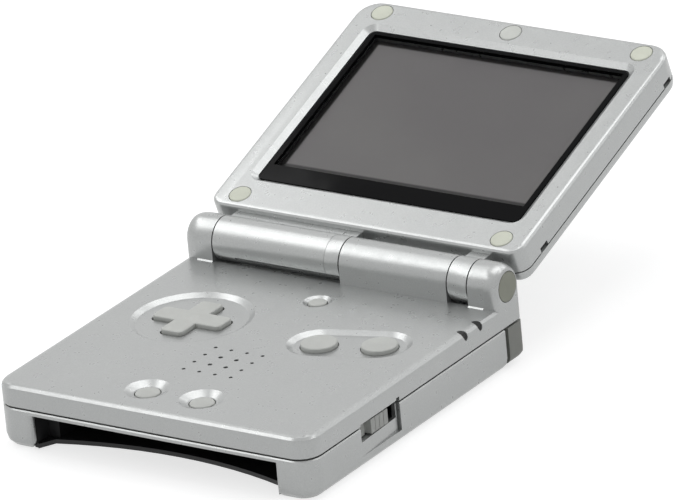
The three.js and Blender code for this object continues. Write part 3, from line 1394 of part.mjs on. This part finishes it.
function lidFrontShell() {
  const slab = softPlate(lidPlan(), [PARTING - 2 * LID_FACE_EDGE_R, FACE], LID_FACE_EDGE_R);
  const spare = box([-BASE_WIDTH, BASE_WIDTH], [0, LID_END + OVERRUN], [2 * LID_BACK, PARTING]);
  const shell = slab.subtract(spare).subtract(lidFrontCavity());
  const barrels = joined([barrel(LONG_BARREL_SPAN), barrel(SHORT_BARREL_SPAN)]);
  const bores = rodAlongX([-HALF, HALF], 0, 0, BORE_R);
  return cut(shell.add(barrels), [
    bores,
    recessCutter(windowOutline, FACE, WINDOW_BEVEL, WINDOW_SLOPE),
    plate(windowOutline(WINDOW_SLOPE), [LEDGE_TOP, RECESS_FLOOR + SEAT]),
    panelBox(CLEAR, [LEDGE_UNDER - OVERRUN, FACE]),
    flexSlot(),
    barrelSplit(),
    barrelRing(),
    ...latchSlots(),
    ...padPockets(),
  ]);
}

function lidRearShell() {
  const slab = softPlate(lidPlan(), [LID_BACK, REAR_TOP + 2 * LID_BACK_EDGE_R], LID_BACK_EDGE_R);
  const spare = box([-BASE_WIDTH, BASE_WIDTH], [0, LID_END + OVERRUN], [REAR_TOP, HINGE_Z]);
  const cavity = plate(lidPlan(LID_WALL), [LID_BACK + LID_BACK_PLATE, REAR_TOP + OVERRUN]);
  const floor = LID_BACK + LID_BACK_PLATE;
  const bosses = PAD_PLACES.map(([x, y]) => rod(x, y, [floor - SEAT, LID_CAVITY_TOP - CLEAR], LID_BOSS_R));
  const holes = PAD_PLACES.map(([x, y]) => rod(x, y, [floor, FACE], LID_SCREW_R + CLEAR, TINY_ROUND_SIDES));
  return cut(joined([slab.subtract(spare).subtract(cavity), ...bosses]), holes);
}

function screenWindow() {
  return softPlate(windowOutline(WINDOW_SLOPE + CLEAR), [WINDOW_UNDER, RECESS_FLOOR], SEAT, CHAMFER_STEPS);
}

const LIGHT_UNIT_TOP = PANEL_UNDER - CLEAR;
const LIGHT_UNIT_FOOT = LIGHT_UNIT_TOP - LIGHT_UNIT_THICKNESS;

function lightUnit() {
  return panelBox(0, [LIGHT_UNIT_FOOT, LIGHT_UNIT_TOP]);
}

function screenFrame() {
  const wall = CLEAR + SCREEN_FRAME_WALL;
  const half = PANEL_HALF + wall;
  const foot = LIGHT_UNIT_FOOT - CLEAR;
  const head = Math.min(PANEL_Y[1] + wall, PAD_PLACES[2][1] - LID_BOSS_R - CLEAR);
  const heights = [foot - SCREEN_FRAME_FLOOR, LEDGE_UNDER - CLEAR];
  const whole = box([-half, half], [PANEL_Y[0] - wall, head], heights);
  return whole.subtract(panelBox(CLEAR, [foot, FACE]));
}

function lidPad([x, y]) {
  const top = FACE + PAD_PROUD;
  const foot = top - PAD_THICKNESS;
  return turned(x, y, [
    [0, foot], [PAD_R, foot], [PAD_R, top - PAD_PROUD], [PAD_R - PAD_PROUD, top - SEAT / 2], [0, top],
  ], LARGE_ROUND_SIDES);
}

function lidScrew([x, y]) {
  const foot = FACE - PAD_POCKET_DEPTH + CLEAR;
  const tip = LID_BACK + LID_BACK_PLATE + LID_SCREW_TIP;
  return turned(x, y, [
    [0, tip], [LID_SCREW_R, tip + LID_SCREW_R], [LID_SCREW_R, foot], [LID_SCREW_HEAD_R, foot],
    [LID_SCREW_HEAD_R, foot + LID_SCREW_HEAD], [0, foot + LID_SCREW_HEAD],
  ], TINY_ROUND_SIDES * 2);
}

// The ribbon is rolled up on the hinge axis and runs through the web to the screen's frame.
function flexRibbon() {
  const left = LONG_BARREL_SPAN[0] + FLEX_INSET;
  const right = CLICK_UNIT_INNER - FLEX_ROLL_MARGIN;
  const roll = rodAlongX([left, right], 0, 0, FLEX_ROLL_R, SMALL_ROUND_SIDES);
  const end = PANEL_Y[0] - 2 * CLEAR - SCREEN_FRAME_WALL;
  return roll.add(box([left, left + FLEX_WIDTH], [0, end], [-FLEX_THICKNESS / 2, FLEX_THICKNESS / 2]));
}

// Assembly

const console3d = new THREE.Group();
const base = new THREE.Group();
base.position.set(0, -BASE_DEPTH / 2, 0);
console3d.add(base);
const lid = new THREE.Group();
lid.position.set(0, HINGE_Y, HINGE_Z);
lid.rotation.x = THREE.MathUtils.degToRad(180 - OPEN_ANGLE);
base.add(lid);

function node(group, name, solid, material) {
  const mesh = new THREE.Mesh(geometryOf(solid), material);
  mesh.name = name;
  group.add(mesh);
}

node(base, 'base_upper_shell', baseUpperShell(), SILVER);
node(base, 'base_lower_shell', baseLowerShell(), SILVER);
node(base, 'card_slot_liner', cardSlotLiner(), BLACK);
node(base, 'card_connector', cardConnector(), BLACK);
node(base, 'battery_pack', batteryPack(), DARK_RUBBER);
node(base, 'battery_cover', batteryCover(), SILVER);
node(base, 'battery_cover_screw', coverScrew(), STEEL);
node(base, 'main_board', mainBoard(), BOARD);
node(base, 'speaker', speaker(), STEEL);
node(base, 'direction_pad_rubber', directionRubber(), DARK_RUBBER);
node(base, 'action_button_rubber', sheetUnder([B_PLACE, A_PLACE], ACTION_R + RUBBER_MARGIN), DARK_RUBBER);
const menuRubber = sheetUnder([SELECT_PLACE, START_PLACE], MENU_R + RUBBER_MARGIN);
node(base, 'menu_button_rubber', menuRubber, DARK_RUBBER);
node(base, 'light_button_rubber', lightRubber(), DARK_RUBBER);
node(base, 'direction_pad', directionPad(), BUTTON_GREY);
node(base, 'direction_pad_pivot', directionPivot(), DARK_RUBBER);
node(base, 'button_a', roundButton(A_PLACE, ACTION_R, ACTION_DROP), BUTTON_GREY);
node(base, 'button_b', roundButton(B_PLACE, ACTION_R, ACTION_DROP), BUTTON_GREY);
node(base, 'button_start', roundButton(START_PLACE, MENU_R, MENU_DROP), BUTTON_GREY);
node(base, 'button_select', roundButton(SELECT_PLACE, MENU_R, MENU_DROP), BUTTON_GREY);
node(base, 'button_light', roundButton(LIGHT_PLACE, LIGHT_R, LIGHT_DROP), BUTTON_GREY);
node(base, 'power_switch_knob', powerKnob(), BUTTON_GREY);
node(base, 'power_switch_body', controlBody(1, SWITCH_SLOT), BLACK);
node(base, 'volume_knob', volumeKnob(), BUTTON_GREY);
node(base, 'volume_control_body', controlBody(-1, VOLUME_SLOT), BLACK);
node(base, 'link_socket', socket(LINK_X, LINK_WIDTH, SEAM_FOOT - LINK_HEADROOM), BLACK);
node(base, 'power_socket', socket(POWER_X, POWER_WIDTH, SEAM_FOOT - POWER_HEADROOM), BLACK);
node(base, 'hinge_click_unit', clickUnit(), STEEL);
node(base, 'hinge_pin_left', leftPin(), STEEL);
for (const [name, side] of [['left', -1], ['right', 1]]) {
  node(base, `hinge_end_cap_${name}`, endCap(side), CAP);
  node(base, `shoulder_button_${name}`, shoulderButton(side), SHOULDER_GREY);
  node(base, `shoulder_pin_${name}`, shoulderPin(side), STEEL);
  node(base, `shoulder_spring_${name}`, shoulderSpring(side), STEEL);
}
LENS_PLACES.forEach((place, i) => {
  node(base, `indicator_lens_${i + 1}`, indicatorLens(place), BLACK);
});
SCREW_PLACES.forEach((place, i) => {
  node(base, `base_screw_${i + 1}`, baseScrew(place), STEEL);
});

node(lid, 'lid_front_shell', lidFrontShell(), SILVER);
node(lid, 'lid_rear_shell', lidRearShell(), SILVER);
node(lid, 'screen_window', screenWindow(), WINDOW);
node(lid, 'screen_panel', panelBox(0, [PANEL_UNDER, PANEL_TOP]), PANEL);
node(lid, 'screen_light_unit', lightUnit(), WHITE);
node(lid, 'screen_frame', screenFrame(), DARK_RUBBER);
node(lid, 'screen_ribbon', flexRibbon(), FLEX);
PAD_PLACES.forEach((place, i) => {
  node(lid, `lid_pad_${i + 1}`, lidPad(place), RUBBER);
  node(lid, `lid_screw_${i + 1}`, lidScrew(place), STEEL);
});

export default console3d;
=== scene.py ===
"""Looks of an open clamshell handheld game console: silver paint, grey buttons, black window, studio."""

import json
import math

import bpy
from mathutils import Matrix, Vector

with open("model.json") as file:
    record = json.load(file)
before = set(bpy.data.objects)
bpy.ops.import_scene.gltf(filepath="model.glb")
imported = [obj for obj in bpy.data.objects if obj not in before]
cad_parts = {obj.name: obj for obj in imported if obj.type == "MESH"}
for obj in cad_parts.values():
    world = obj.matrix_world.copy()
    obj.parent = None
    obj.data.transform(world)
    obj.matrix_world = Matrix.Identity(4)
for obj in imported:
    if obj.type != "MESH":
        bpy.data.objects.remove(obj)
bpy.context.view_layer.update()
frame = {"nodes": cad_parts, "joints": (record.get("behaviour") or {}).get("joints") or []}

MM = 0.001

# Lid: its hinge axis, and how far its screen face leans from level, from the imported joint
HINGE = next(j for j in frame["joints"] if j["name"] == "lid_hinge")
AXIS_POINT = Vector(HINGE["pos_m"])
LID_TILT = math.radians(180 - HINGE["range_deg"][1])

# Camera, solved from the photograph in the part's own frame, with its place and clip distances in metres
CAMERA_PLACE = Vector((1.11841, -1.52386, 0.81317))
CAMERA_AZIMUTH = math.radians(35.6935)
CAMERA_ELEVATION = math.radians(22.4103)
CAMERA_ROLL = math.radians(-5.4375)
FOCAL_PIXELS = 9487.0
IMAGE_WIDTH = 677
SENSOR_WIDTH = 36.0
CLIP_NEAR = 0.1
CLIP_FAR = 50.0


# Node helpers, whose owner is a material or the world

def new_material(name, color, roughness, metallic=0.0, specular=0.5):
    mat = bpy.data.materials.new(name)
    mat.use_nodes = True
    shader = mat.node_tree.nodes["Principled BSDF"]
    shader.inputs["Base Color"].default_value = (*color, 1.0)
    shader.inputs["Roughness"].default_value = roughness
    shader.inputs["Metallic"].default_value = metallic
    shader.inputs["Specular IOR Level"].default_value = specular
    return mat, shader


def add(owner, kind, **values):
    node = owner.node_tree.nodes.new(kind)
    for key, value in values.items():
        setattr(node, key, value)
    return node


def link(owner, a, b):
    owner.node_tree.links.new(a, b)


def place(owner):
    return add(owner, "ShaderNodeTexCoord").outputs["Object"]


def noise(owner, scale, detail=2.0, roughness=0.5):
    node = add(owner, "ShaderNodeTexNoise")
    node.inputs["Scale"].default_value = scale
    node.inputs["Detail"].default_value = detail
    node.inputs["Roughness"].default_value = roughness
    link(owner, place(owner), node.inputs["Vector"])
    return node.outputs["Fac"]


# The part of a noise's range that most of it lies in
NOISE_LOW = 0.3
NOISE_HIGH = 0.7

# Finer layers in a patchy noise, and how strong each is beside the one before
PATCHY_DETAIL = 4.0
PATCHY_ROUGHNESS = 0.6

# Sockets of a Mix node that mixes colours
MIX_FACTOR, MIX_A, MIX_B = 0, 6, 7
MIX_RESULT = 2


def patchy(owner, scale):
    return noise(owner, scale, PATCHY_DETAIL, PATCHY_ROUGHNESS)


def ramp(owner, source, low_color, high_color, low=NOISE_LOW, high=NOISE_HIGH):
    node = add(owner, "ShaderNodeValToRGB")
    stops = ((low, low_color), (high, high_color))
    for element, (position, color) in zip(node.color_ramp.elements, stops):
        element.position = position
        element.color = (*color, 1.0)
    link(owner, source, node.inputs["Fac"])
    return node.outputs["Color"]


def remap(owner, source, low, high, out_low, out_high):
    node = add(owner, "ShaderNodeMapRange", clamp=True)
    for key, value in (("From Min", low), ("From Max", high), ("To Min", out_low), ("To Max", out_high)):
        node.inputs[key].default_value = value
    link(owner, source, node.inputs["Value"])
    return node.outputs["Result"]


def math_node(owner, operation, a, b):
    node = add(owner, "ShaderNodeMath", operation=operation)
    for socket, value in zip(node.inputs, (a, b)):
        if isinstance(value, (int, float)):
            socket.default_value = value
        else:
            link(owner, value, socket)
    return node.outputs["Value"]


def mix_color(owner, factor, a, b, blend="MIX"):
    node = add(owner, "ShaderNodeMix", data_type="RGBA", blend_type=blend)
    for key, value in ((MIX_FACTOR, factor), (MIX_A, a), (MIX_B, b)):
        socket = node.inputs[key]
        if isinstance(value, (int, float)):
            socket.default_value = value
        elif isinstance(value, tuple):
            socket.default_value = (*value, 1.0)
        else:
            link(owner, value, socket)
    return node.outputs[MIX_RESULT]


def mix_shaders(owner, factor, low, high):
    node = add(owner, "ShaderNodeMixShader")
    for socket, source in zip(node.inputs, (factor, low, high)):
        link(owner, source, socket)
    return node.outputs[0]


def bump(owner, shader, height, distance, strength):
    node = add(owner, "ShaderNodeBump")
    node.inputs["Distance"].default_value = distance
    node.inputs["Strength"].default_value = strength
    link(owner, height, node.inputs["Height"])
    link(owner, node.outputs["Normal"], shader.inputs["Normal"])


def vary_roughness(owner, shader, source, low, high):
    link(owner, remap(owner, source, NOISE_LOW, NOISE_HIGH, low, high), shader.inputs["Roughness"])


def scaled(color, share):
    return tuple(share * c for c in color)


# Satin paint

PAINT_COLOR = (0.455, 0.465, 0.46)
PAINT_ROUGHNESS = 0.3
PAINT_ROUGHNESS_SPREAD = 0.03
PAINT_SHEEN_SCALE = 500.0
BASE_METALLIC = 0.65
# The lid's copy of the same silver paint: a little more metallic, and painted 4 % lighter as painted light
# where the lid and its hinge barrels catch more light
LID_METALLIC = 0.7
LID_PAINTED_LIGHT_SHARE = 1.04
FLAKE_SCALE = 3000.0
FLAKE_DETAIL = 0.0
FLAKE_DARK_SHARE = 0.96
FLAKE_LIGHT_SHARE = 1.03
CLOUD_SCALE = 60.0
CLOUD_LOW = 0.25
CLOUD_HIGH = 0.75
CLOUD_DARK = (0.96, 0.96, 0.965)
CLOUD_LIGHT = (1.0, 1.0, 1.0)
PAINT_GRAIN_SCALE = 1300.0
PAINT_GRAIN_DETAIL = 1.0
PAINT_GRAIN_DEPTH = 0.01 * MM
PAINT_GRAIN_STRENGTH = 0.1


def painted_silver(name, metallic, tone_share=1.0):
    """Satin paint: fine metal flakes, a faint cloudiness, and a sheen and grain that vary a little."""
    base = scaled(PAINT_COLOR, tone_share)
    mat, shader = new_material(name, base, PAINT_ROUGHNESS, metallic=metallic)
    flakes = noise(mat, FLAKE_SCALE, FLAKE_DETAIL)
    clouds = patchy(mat, CLOUD_SCALE)
    color = ramp(mat, flakes, scaled(base, FLAKE_DARK_SHARE), scaled(base, FLAKE_LIGHT_SHARE))
    cloudy = ramp(mat, clouds, CLOUD_DARK, CLOUD_LIGHT, CLOUD_LOW, CLOUD_HIGH)
    link(mat, mix_color(mat, 1.0, color, cloudy, "MULTIPLY"), shader.inputs["Base Color"])
    vary_roughness(mat, shader, noise(mat, PAINT_SHEEN_SCALE),
                   PAINT_ROUGHNESS - PAINT_ROUGHNESS_SPREAD, PAINT_ROUGHNESS + PAINT_ROUGHNESS_SPREAD)
    grain = noise(mat, PAINT_GRAIN_SCALE, PAINT_GRAIN_DETAIL)
    bump(mat, shader, grain, PAINT_GRAIN_DEPTH, PAINT_GRAIN_STRENGTH)
    return mat


# Moulded plastic and rubber

PATCH_SCALE = 220.0
PATCH_DARK_SHARE = 0.95
PATCH_LIGHT_SHARE = 1.05
MOULDED_SHEEN_SCALE = 700.0
MOULDED_ROUGHNESS_SPREAD = 0.05
PLASTIC_GRAIN_SCALE = 2600.0
RUBBER_GRAIN_SCALE = 1800.0
MOULDED_GRAIN_DETAIL = 3.0
MOULDED_GRAIN_DEPTH = 0.012 * MM
MOULDED_GRAIN_STRENGTH = 0.6
LENS_SPECULAR = 0.2


def moulded(name, color, roughness, grain_scale=PLASTIC_GRAIN_SCALE, specular=0.5):
    """Moulded plastic or rubber: a fine grain, with colour that varies a little from place to place."""
    mat, shader = new_material(name, color, roughness, specular=specular)
    patches = patchy(mat, PATCH_SCALE)
    tone = ramp(mat, patches, scaled(color, PATCH_DARK_SHARE), scaled(color, PATCH_LIGHT_SHARE))
    link(mat, tone, shader.inputs["Base Color"])
    vary_roughness(mat, shader, noise(mat, MOULDED_SHEEN_SCALE),
                   roughness - MOULDED_ROUGHNESS_SPREAD, roughness + MOULDED_ROUGHNESS_SPREAD)
    grain = noise(mat, grain_scale, MOULDED_GRAIN_DETAIL)
    bump(mat, shader, grain, MOULDED_GRAIN_DEPTH, MOULDED_GRAIN_STRENGTH)
    return mat


# Steel

STEEL_COLOR = (0.55, 0.55, 0.56)
STEEL_DARK = (0.47, 0.47, 0.48)
STEEL_LIGHT = (0.6, 0.6, 0.61)
STEEL_ROUGHNESS = 0.32
STEEL_ROUGHNESS_LOW = 0.25
STEEL_ROUGHNESS_HIGH = 0.42
BRUSH_SCALE = 1400.0
BRUSH_DETAIL = 5.0
BRUSH_NOISE_ROUGHNESS = 0.7
BRUSH_DEPTH = 0.008 * MM
BRUSH_STRENGTH = 0.5


def steel(name):
    """Plain steel with a fine uneven finish."""
    mat, shader = new_material(name, STEEL_COLOR, STEEL_ROUGHNESS, metallic=1.0)
    brushed = noise(mat, BRUSH_SCALE, BRUSH_DETAIL, BRUSH_NOISE_ROUGHNESS)
    link(mat, ramp(mat, brushed, STEEL_DARK, STEEL_LIGHT), shader.inputs["Base Color"])
    vary_roughness(mat, shader, brushed, STEEL_ROUGHNESS_LOW, STEEL_ROUGHNESS_HIGH)
    bump(mat, shader, brushed, BRUSH_DEPTH, BRUSH_STRENGTH)
    return mat


# Window and display: the window's clear area and the display's picture area behind it, from the hinge axis

CLEAR_HALF = 33.0 * MM
CLEAR_FOOT = 22.5 * MM
CLEAR_HEAD = 68.3 * MM
DISPLAY_HALF = 31.4 * MM
DISPLAY_FOOT = 25.2 * MM
DISPLAY_HEAD = 66.5 * MM
PRINT_EDGE = 0.05 * MM
DISPLAY_EDGE = 0.5 * MM

WINDOW_BLACK = (0.006, 0.006, 0.0065)
WINDOW_ROUGHNESS = 0.06
WINDOW_SPECULAR = 0.03
SMEAR_SCALE = 90.0
SMEAR_LOW = 0.35
SMEAR_HIGH = 0.7
SMEAR_ROUGHNESS_LOW = 0.04
SMEAR_ROUGHNESS_HIGH = 0.1
CLEAR_TINT = (0.9, 0.9, 0.9)
GLAZE_IOR = 1.35

DISPLAY_COLOR = (0.17, 0.162, 0.163)
DISPLAY_DARK = (0.208, 0.196, 0.202)
DISPLAY_LIGHT = (0.248, 0.239, 0.236)
DISPLAY_RIM = (0.02, 0.019, 0.019)
DISPLAY_ROUGHNESS = 0.3
DISPLAY_PATCH_SCALE = 25.0


def lid_place(mat):
    """Coordinates across the lid, along it from the hinge axis, and out of its screen face, in metres."""
    moved = add(mat, "ShaderNodeVectorMath", operation="SUBTRACT")
    moved.inputs[1].default_value = AXIS_POINT
    link(mat, place(mat), moved.inputs[0])
    turned = add(mat, "ShaderNodeVectorRotate", rotation_type="X_AXIS")
    turned.inputs["Angle"].default_value = -LID_TILT
    link(mat, moved.outputs[0], turned.inputs["Vector"])
    split = add(mat, "ShaderNodeSeparateXYZ")
    link(mat, turned.outputs[0], split.inputs[0])
    return split.outputs


def band(mat, value, low, high, edge):
    """1 between low and high, falling to 0 over the edge width outside them."""
    rise = remap(mat, value, low - edge, low, 0.0, 1.0)
    fall = remap(mat, value, high, high + edge, 1.0, 0.0)
    return math_node(mat, "MULTIPLY", rise, fall)


def lid_area(mat, half, foot, head, edge):
    """1 inside a rectangle on the lid, from minus half to half across it and from foot to head along it."""
    across, along, _ = lid_place(mat)
    in_width = band(mat, across, -half, half, edge)
    in_length = band(mat, along, foot, head, edge)
    return math_node(mat, "MULTIPLY", in_width, in_length)


def window_glass(name):
    """Polished window: printed black round the display, clear over it."""
    mat, shader = new_material(name, WINDOW_BLACK, WINDOW_ROUGHNESS, specular=WINDOW_SPECULAR)
    inside = lid_area(mat, CLEAR_HALF, CLEAR_FOOT, CLEAR_HEAD, PRINT_EDGE)
    smear = patchy(mat, SMEAR_SCALE)
    smear_roughness = remap(mat, smear, SMEAR_LOW, SMEAR_HIGH, SMEAR_ROUGHNESS_LOW, SMEAR_ROUGHNESS_HIGH)
    link(mat, smear_roughness, shader.inputs["Roughness"])
    clear = add(mat, "ShaderNodeBsdfTransparent")
    clear.inputs["Color"].default_value = (*CLEAR_TINT, 1.0)
    fresnel = add(mat, "ShaderNodeFresnel")
    fresnel.inputs["IOR"].default_value = GLAZE_IOR
    outward = math_node(mat, "SUBTRACT", 1.0, add(mat, "ShaderNodeNewGeometry").outputs["Backfacing"])
    shine = math_node(mat, "MULTIPLY", fresnel.outputs[0], outward)
    glaze = mix_shaders(mat, shine, clear.outputs[0], shader.outputs[0])
    mixed = mix_shaders(mat, inside, shader.outputs[0], glaze)
    link(mat, mixed, mat.node_tree.nodes["Material Output"].inputs["Surface"])
    return mat


def display(name):
    """Unlit display: warm grey with soft patches and a dark rim."""
    mat, shader = new_material(name, DISPLAY_COLOR, DISPLAY_ROUGHNESS)
    tone = ramp(mat, noise(mat, DISPLAY_PATCH_SCALE), DISPLAY_DARK, DISPLAY_LIGHT)
    inner = lid_area(mat, DISPLAY_HALF, DISPLAY_FOOT, DISPLAY_HEAD, DISPLAY_EDGE)
    link(mat, mix_color(mat, inner, DISPLAY_RIM, tone), shader.inputs["Base Color"])
    return mat


# Materials: a name, a colour and a roughness each

SILVER = painted_silver("silver_paint", BASE_METALLIC)
# The lid and its barrels: the same silver as the base, with light painted in to make it lighter
LID_SILVER_PAINTED_LIGHTER = painted_silver("silver_paint_lid_painted_lighter", LID_METALLIC, LID_PAINTED_LIGHT_SHARE)
BUTTON = moulded("button_plastic", (0.555, 0.565, 0.54), 0.45)
SHOULDER = moulded("shoulder_plastic", (0.3, 0.305, 0.28), 0.45)
BLACK = moulded("black_plastic", (0.012, 0.012, 0.013), 0.45)
LENS = moulded("lens_plastic", (0.015, 0.015, 0.015), 0.35, specular=LENS_SPECULAR)
PAD = moulded("pad_rubber", (0.74, 0.76, 0.65), 0.7, RUBBER_GRAIN_SCALE)
PALE_PAD = moulded("pale_pad_rubber", (0.67, 0.685, 0.645), 0.6, RUBBER_GRAIN_SCALE)
CAP = moulded("cap_rubber", (0.4, 0.41, 0.34), 0.55, RUBBER_GRAIN_SCALE)
INNER = moulded("inner_rubber", (0.03, 0.03, 0.032), 0.8)
BATTERY = moulded("battery_wrap", (0.05, 0.05, 0.055), 0.5)
BOARD = moulded("board_varnish", (0.02, 0.11, 0.05), 0.35)
FRAME = moulded("frame_plastic", (0.02, 0.02, 0.021), 0.6)
GUIDE = moulded("light_guide", (0.75, 0.75, 0.73), 0.3)
RIBBON = moulded("ribbon_film", (0.42, 0.19, 0.05), 0.4)
STEEL = steel("steel")
WINDOW = window_glass("window_glass")
DISPLAY = display("display")

# Each node's material, and steel for the screws, pins, springs, speaker and click unit, which aren't named
LOOKS = {
    "base_upper_shell": SILVER, "base_lower_shell": SILVER, "battery_cover": SILVER,
    "lid_front_shell": LID_SILVER_PAINTED_LIGHTER, "lid_rear_shell": LID_SILVER_PAINTED_LIGHTER,
    "direction_pad": BUTTON, "button_a": BUTTON, "button_b": BUTTON, "button_start": BUTTON,
    "button_select": BUTTON, "button_light": BUTTON, "power_switch_knob": BUTTON, "volume_knob": BUTTON,
    "shoulder_button_left": SHOULDER, "shoulder_button_right": SHOULDER,
    "card_slot_liner": BLACK, "card_connector": BLACK, "power_switch_body": BLACK,
    "volume_control_body": BLACK, "link_socket": BLACK, "power_socket": BLACK,
    "indicator_lens_1": LENS, "indicator_lens_2": LENS,
    "battery_pack": BATTERY, "main_board": BOARD,
    "direction_pad_rubber": INNER, "action_button_rubber": INNER, "menu_button_rubber": INNER,
    "light_button_rubber": INNER, "direction_pad_pivot": INNER,
    "lid_pad_1": PAD, "lid_pad_2": PAD, "lid_pad_3": PAD, "lid_pad_4": PALE_PAD, "lid_pad_5": PAD,
    "hinge_end_cap_left": CAP, "hinge_end_cap_right": CAP,
    "screen_window": WINDOW, "screen_panel": DISPLAY, "screen_light_unit": GUIDE, "screen_frame": FRAME,
    "screen_ribbon": RIBBON,
}


# Smooth shading that keeps the real edges sharp

SHARP_ANGLE = math.radians(28)
WELD_DISTANCE = 0.002 * MM


def smoothing_group():
    group = bpy.data.node_groups.new("smooth_by_angle", "GeometryNodeTree")
    for way in ("INPUT", "OUTPUT"):
        group.interface.new_socket("Geometry", in_out=way, socket_type="NodeSocketGeometry")
    start = group.nodes.new("NodeGroupInput")
    end = group.nodes.new("NodeGroupOutput")
    drop = group.nodes.new("GeometryNodeRemoveAttribute")
    drop.inputs["Name"].default_value = "custom_normal"
    faces = group.nodes.new("GeometryNodeSetShadeSmooth")
    faces.domain = "FACE"
    faces.inputs["Shade Smooth"].default_value = True
    edges = group.nodes.new("GeometryNodeSetShadeSmooth")
    edges.domain = "EDGE"
    edges.inputs["Shade Smooth"].default_value = False
    angle = group.nodes.new("GeometryNodeInputMeshEdgeAngle")
    compare = group.nodes.new("ShaderNodeMath")
    compare.operation = "GREATER_THAN"
    compare.inputs[1].default_value = SHARP_ANGLE
    group.links.new(start.outputs[0], drop.inputs["Geometry"])
    group.links.new(drop.outputs["Geometry"], faces.inputs["Geometry"])
    group.links.new(faces.outputs["Geometry"], edges.inputs["Geometry"])
    group.links.new(angle.outputs["Unsigned Angle"], compare.inputs[0])
    group.links.new(compare.outputs[0], edges.inputs["Selection"])
    group.links.new(edges.outputs["Geometry"], end.inputs[0])
    return group


SMOOTHING = smoothing_group()


def shade(obj):
    weld = obj.modifiers.new("weld", "WELD")
    weld.merge_threshold = WELD_DISTANCE
    smooth = obj.modifiers.new("smooth", "NODES")
    smooth.node_group = SMOOTHING
    normals = obj.modifiers.new("normals", "WEIGHTED_NORMAL")
    normals.keep_sharp = True


for node_name, node in frame["nodes"].items():
    node.data.materials.clear()
    node.data.materials.append(LOOKS.get(node_name, STEEL))
    shade(node)


# Camera

def add_camera():
    data = bpy.data.cameras.new("camera")
    data.sensor_width = SENSOR_WIDTH
    data.lens = FOCAL_PIXELS * SENSOR_WIDTH / IMAGE_WIDTH
    data.clip_start = CLIP_NEAR
    data.clip_end = CLIP_FAR
    camera = bpy.data.objects.new("camera", data)
    back = Vector((
        math.sin(CAMERA_AZIMUTH) * math.cos(CAMERA_ELEVATION),
        -math.cos(CAMERA_AZIMUTH) * math.cos(CAMERA_ELEVATION),
        math.sin(CAMERA_ELEVATION),
    ))
    right = (-back).cross(Vector((0, 0, 1))).normalized()
    down = (-back).cross(right)
    cosine, sine = math.cos(CAMERA_ROLL), math.sin(CAMERA_ROLL)
    rolled_right = cosine * right - sine * down
    rolled_down = sine * right + cosine * down
    turn = Matrix((rolled_right, -rolled_down, back)).transposed()
    camera.matrix_world = Matrix.Translation(CAMERA_PLACE) @ turn.to_4x4()
    bpy.context.scene.collection.objects.link(camera)
    bpy.context.scene.camera = camera


# Studio: a white floor and sky where they are seen, and greyer ones in the light that falls on the object

WHITE = (1.0, 1.0, 1.0)
FLOOR_HALF = 6.0
FLOOR_COLOR = (0.5, 0.5, 0.5)
FLOOR_DARK = (0.49, 0.49, 0.49)
FLOOR_LIGHT = (0.51, 0.51, 0.51)
FLOOR_ROUGHNESS = 0.9
FLOOR_GRAIN_SCALE = 40.0
FLOOR_GRAIN_DETAIL = 3.0
FLOOR_SEEN_GLOW = 0.72
SKY_COLOR = (0.8, 0.81, 0.82)
SKY_STRENGTH = 0.38
SKY_SEEN_STRENGTH = 1.0

# Softboxes: name, place, the point it faces, width and height, all in metres, and watts
LAMPS = (
    ("top_softbox", (0.0, 0.3, 1.0), (0, 0.02, 0), (0.5, 0.9), 2.8),
    ("left_softbox", (-0.6, -0.15, 0.85), (0, 0.03, 0.02), (1.3, 0.3), 3.2),
    ("back_softbox", (0.15, 0.85, 0.65), (0, 0.03, 0.02), (0.6, 0.25), 0.85),
    ("right_softbox", (0.5, 0.4, 0.9), (0, 0.06, 0.03), (0.4, 0.4), 0.9),
)


def seen_directly(owner):
    """1 for a ray from the camera, through glass or off a glossy surface, and 0 for diffuse light."""
    path = add(owner, "ShaderNodeLightPath")
    seen = math_node(owner, "MAXIMUM", path.outputs["Is Camera Ray"], path.outputs["Is Transmission Ray"])
    return math_node(owner, "MAXIMUM", seen, path.outputs["Is Glossy Ray"])


def add_floor():
    mesh = bpy.data.meshes.new("floor")
    corners = [(FLOOR_HALF * x, FLOOR_HALF * y, 0) for x, y in ((-1, -1), (1, -1), (1, 1), (-1, 1))]
    mesh.from_pydata(corners, [], [(0, 1, 2, 3)])
    floor = bpy.data.objects.new("floor", mesh)
    bpy.context.scene.collection.objects.link(floor)
    mat, shader = new_material("floor_paper", FLOOR_COLOR, FLOOR_ROUGHNESS, specular=0.0)
    grain = noise(mat, FLOOR_GRAIN_SCALE, FLOOR_GRAIN_DETAIL)
    link(mat, ramp(mat, grain, FLOOR_DARK, FLOOR_LIGHT), shader.inputs["Base Color"])
    shader.inputs["Emission Color"].default_value = (*WHITE, 1.0)
    glow = math_node(mat, "MULTIPLY", seen_directly(mat), FLOOR_SEEN_GLOW)
    link(mat, glow, shader.inputs["Emission Strength"])
    floor.data.materials.append(mat)


def add_world():
    world = bpy.data.worlds.new("studio")
    world.use_nodes = True
    sky = world.node_tree.nodes["Background"]
    sky.inputs["Color"].default_value = (*SKY_COLOR, 1.0)
    sky.inputs["Strength"].default_value = SKY_STRENGTH
    white = add(world, "ShaderNodeBackground")
    white.inputs["Color"].default_value = (*WHITE, 1.0)
    white.inputs["Strength"].default_value = SKY_SEEN_STRENGTH
    mixed = mix_shaders(world, seen_directly(world), sky.outputs[0], white.outputs[0])
    link(world, mixed, world.node_tree.nodes["World Output"].inputs["Surface"])
    bpy.context.scene.world = world


def add_lamp(name, place_m, target_m, size, watts):
    data = bpy.data.lights.new(name, "AREA")
    data.shape = "RECTANGLE"
    data.size, data.size_y = size
    data.energy = watts
    lamp = bpy.data.objects.new(name, data)
    lamp.location = place_m
    lamp.rotation_euler = (Vector(target_m) - Vector(place_m)).to_track_quat("-Z", "Y").to_euler()
    bpy.context.scene.collection.objects.link(lamp)


add_camera()
add_floor()
add_world()
for lamp_values in LAMPS:
    add_lamp(*lamp_values)

bpy.context.scene.view_settings.view_transform = "Standard"
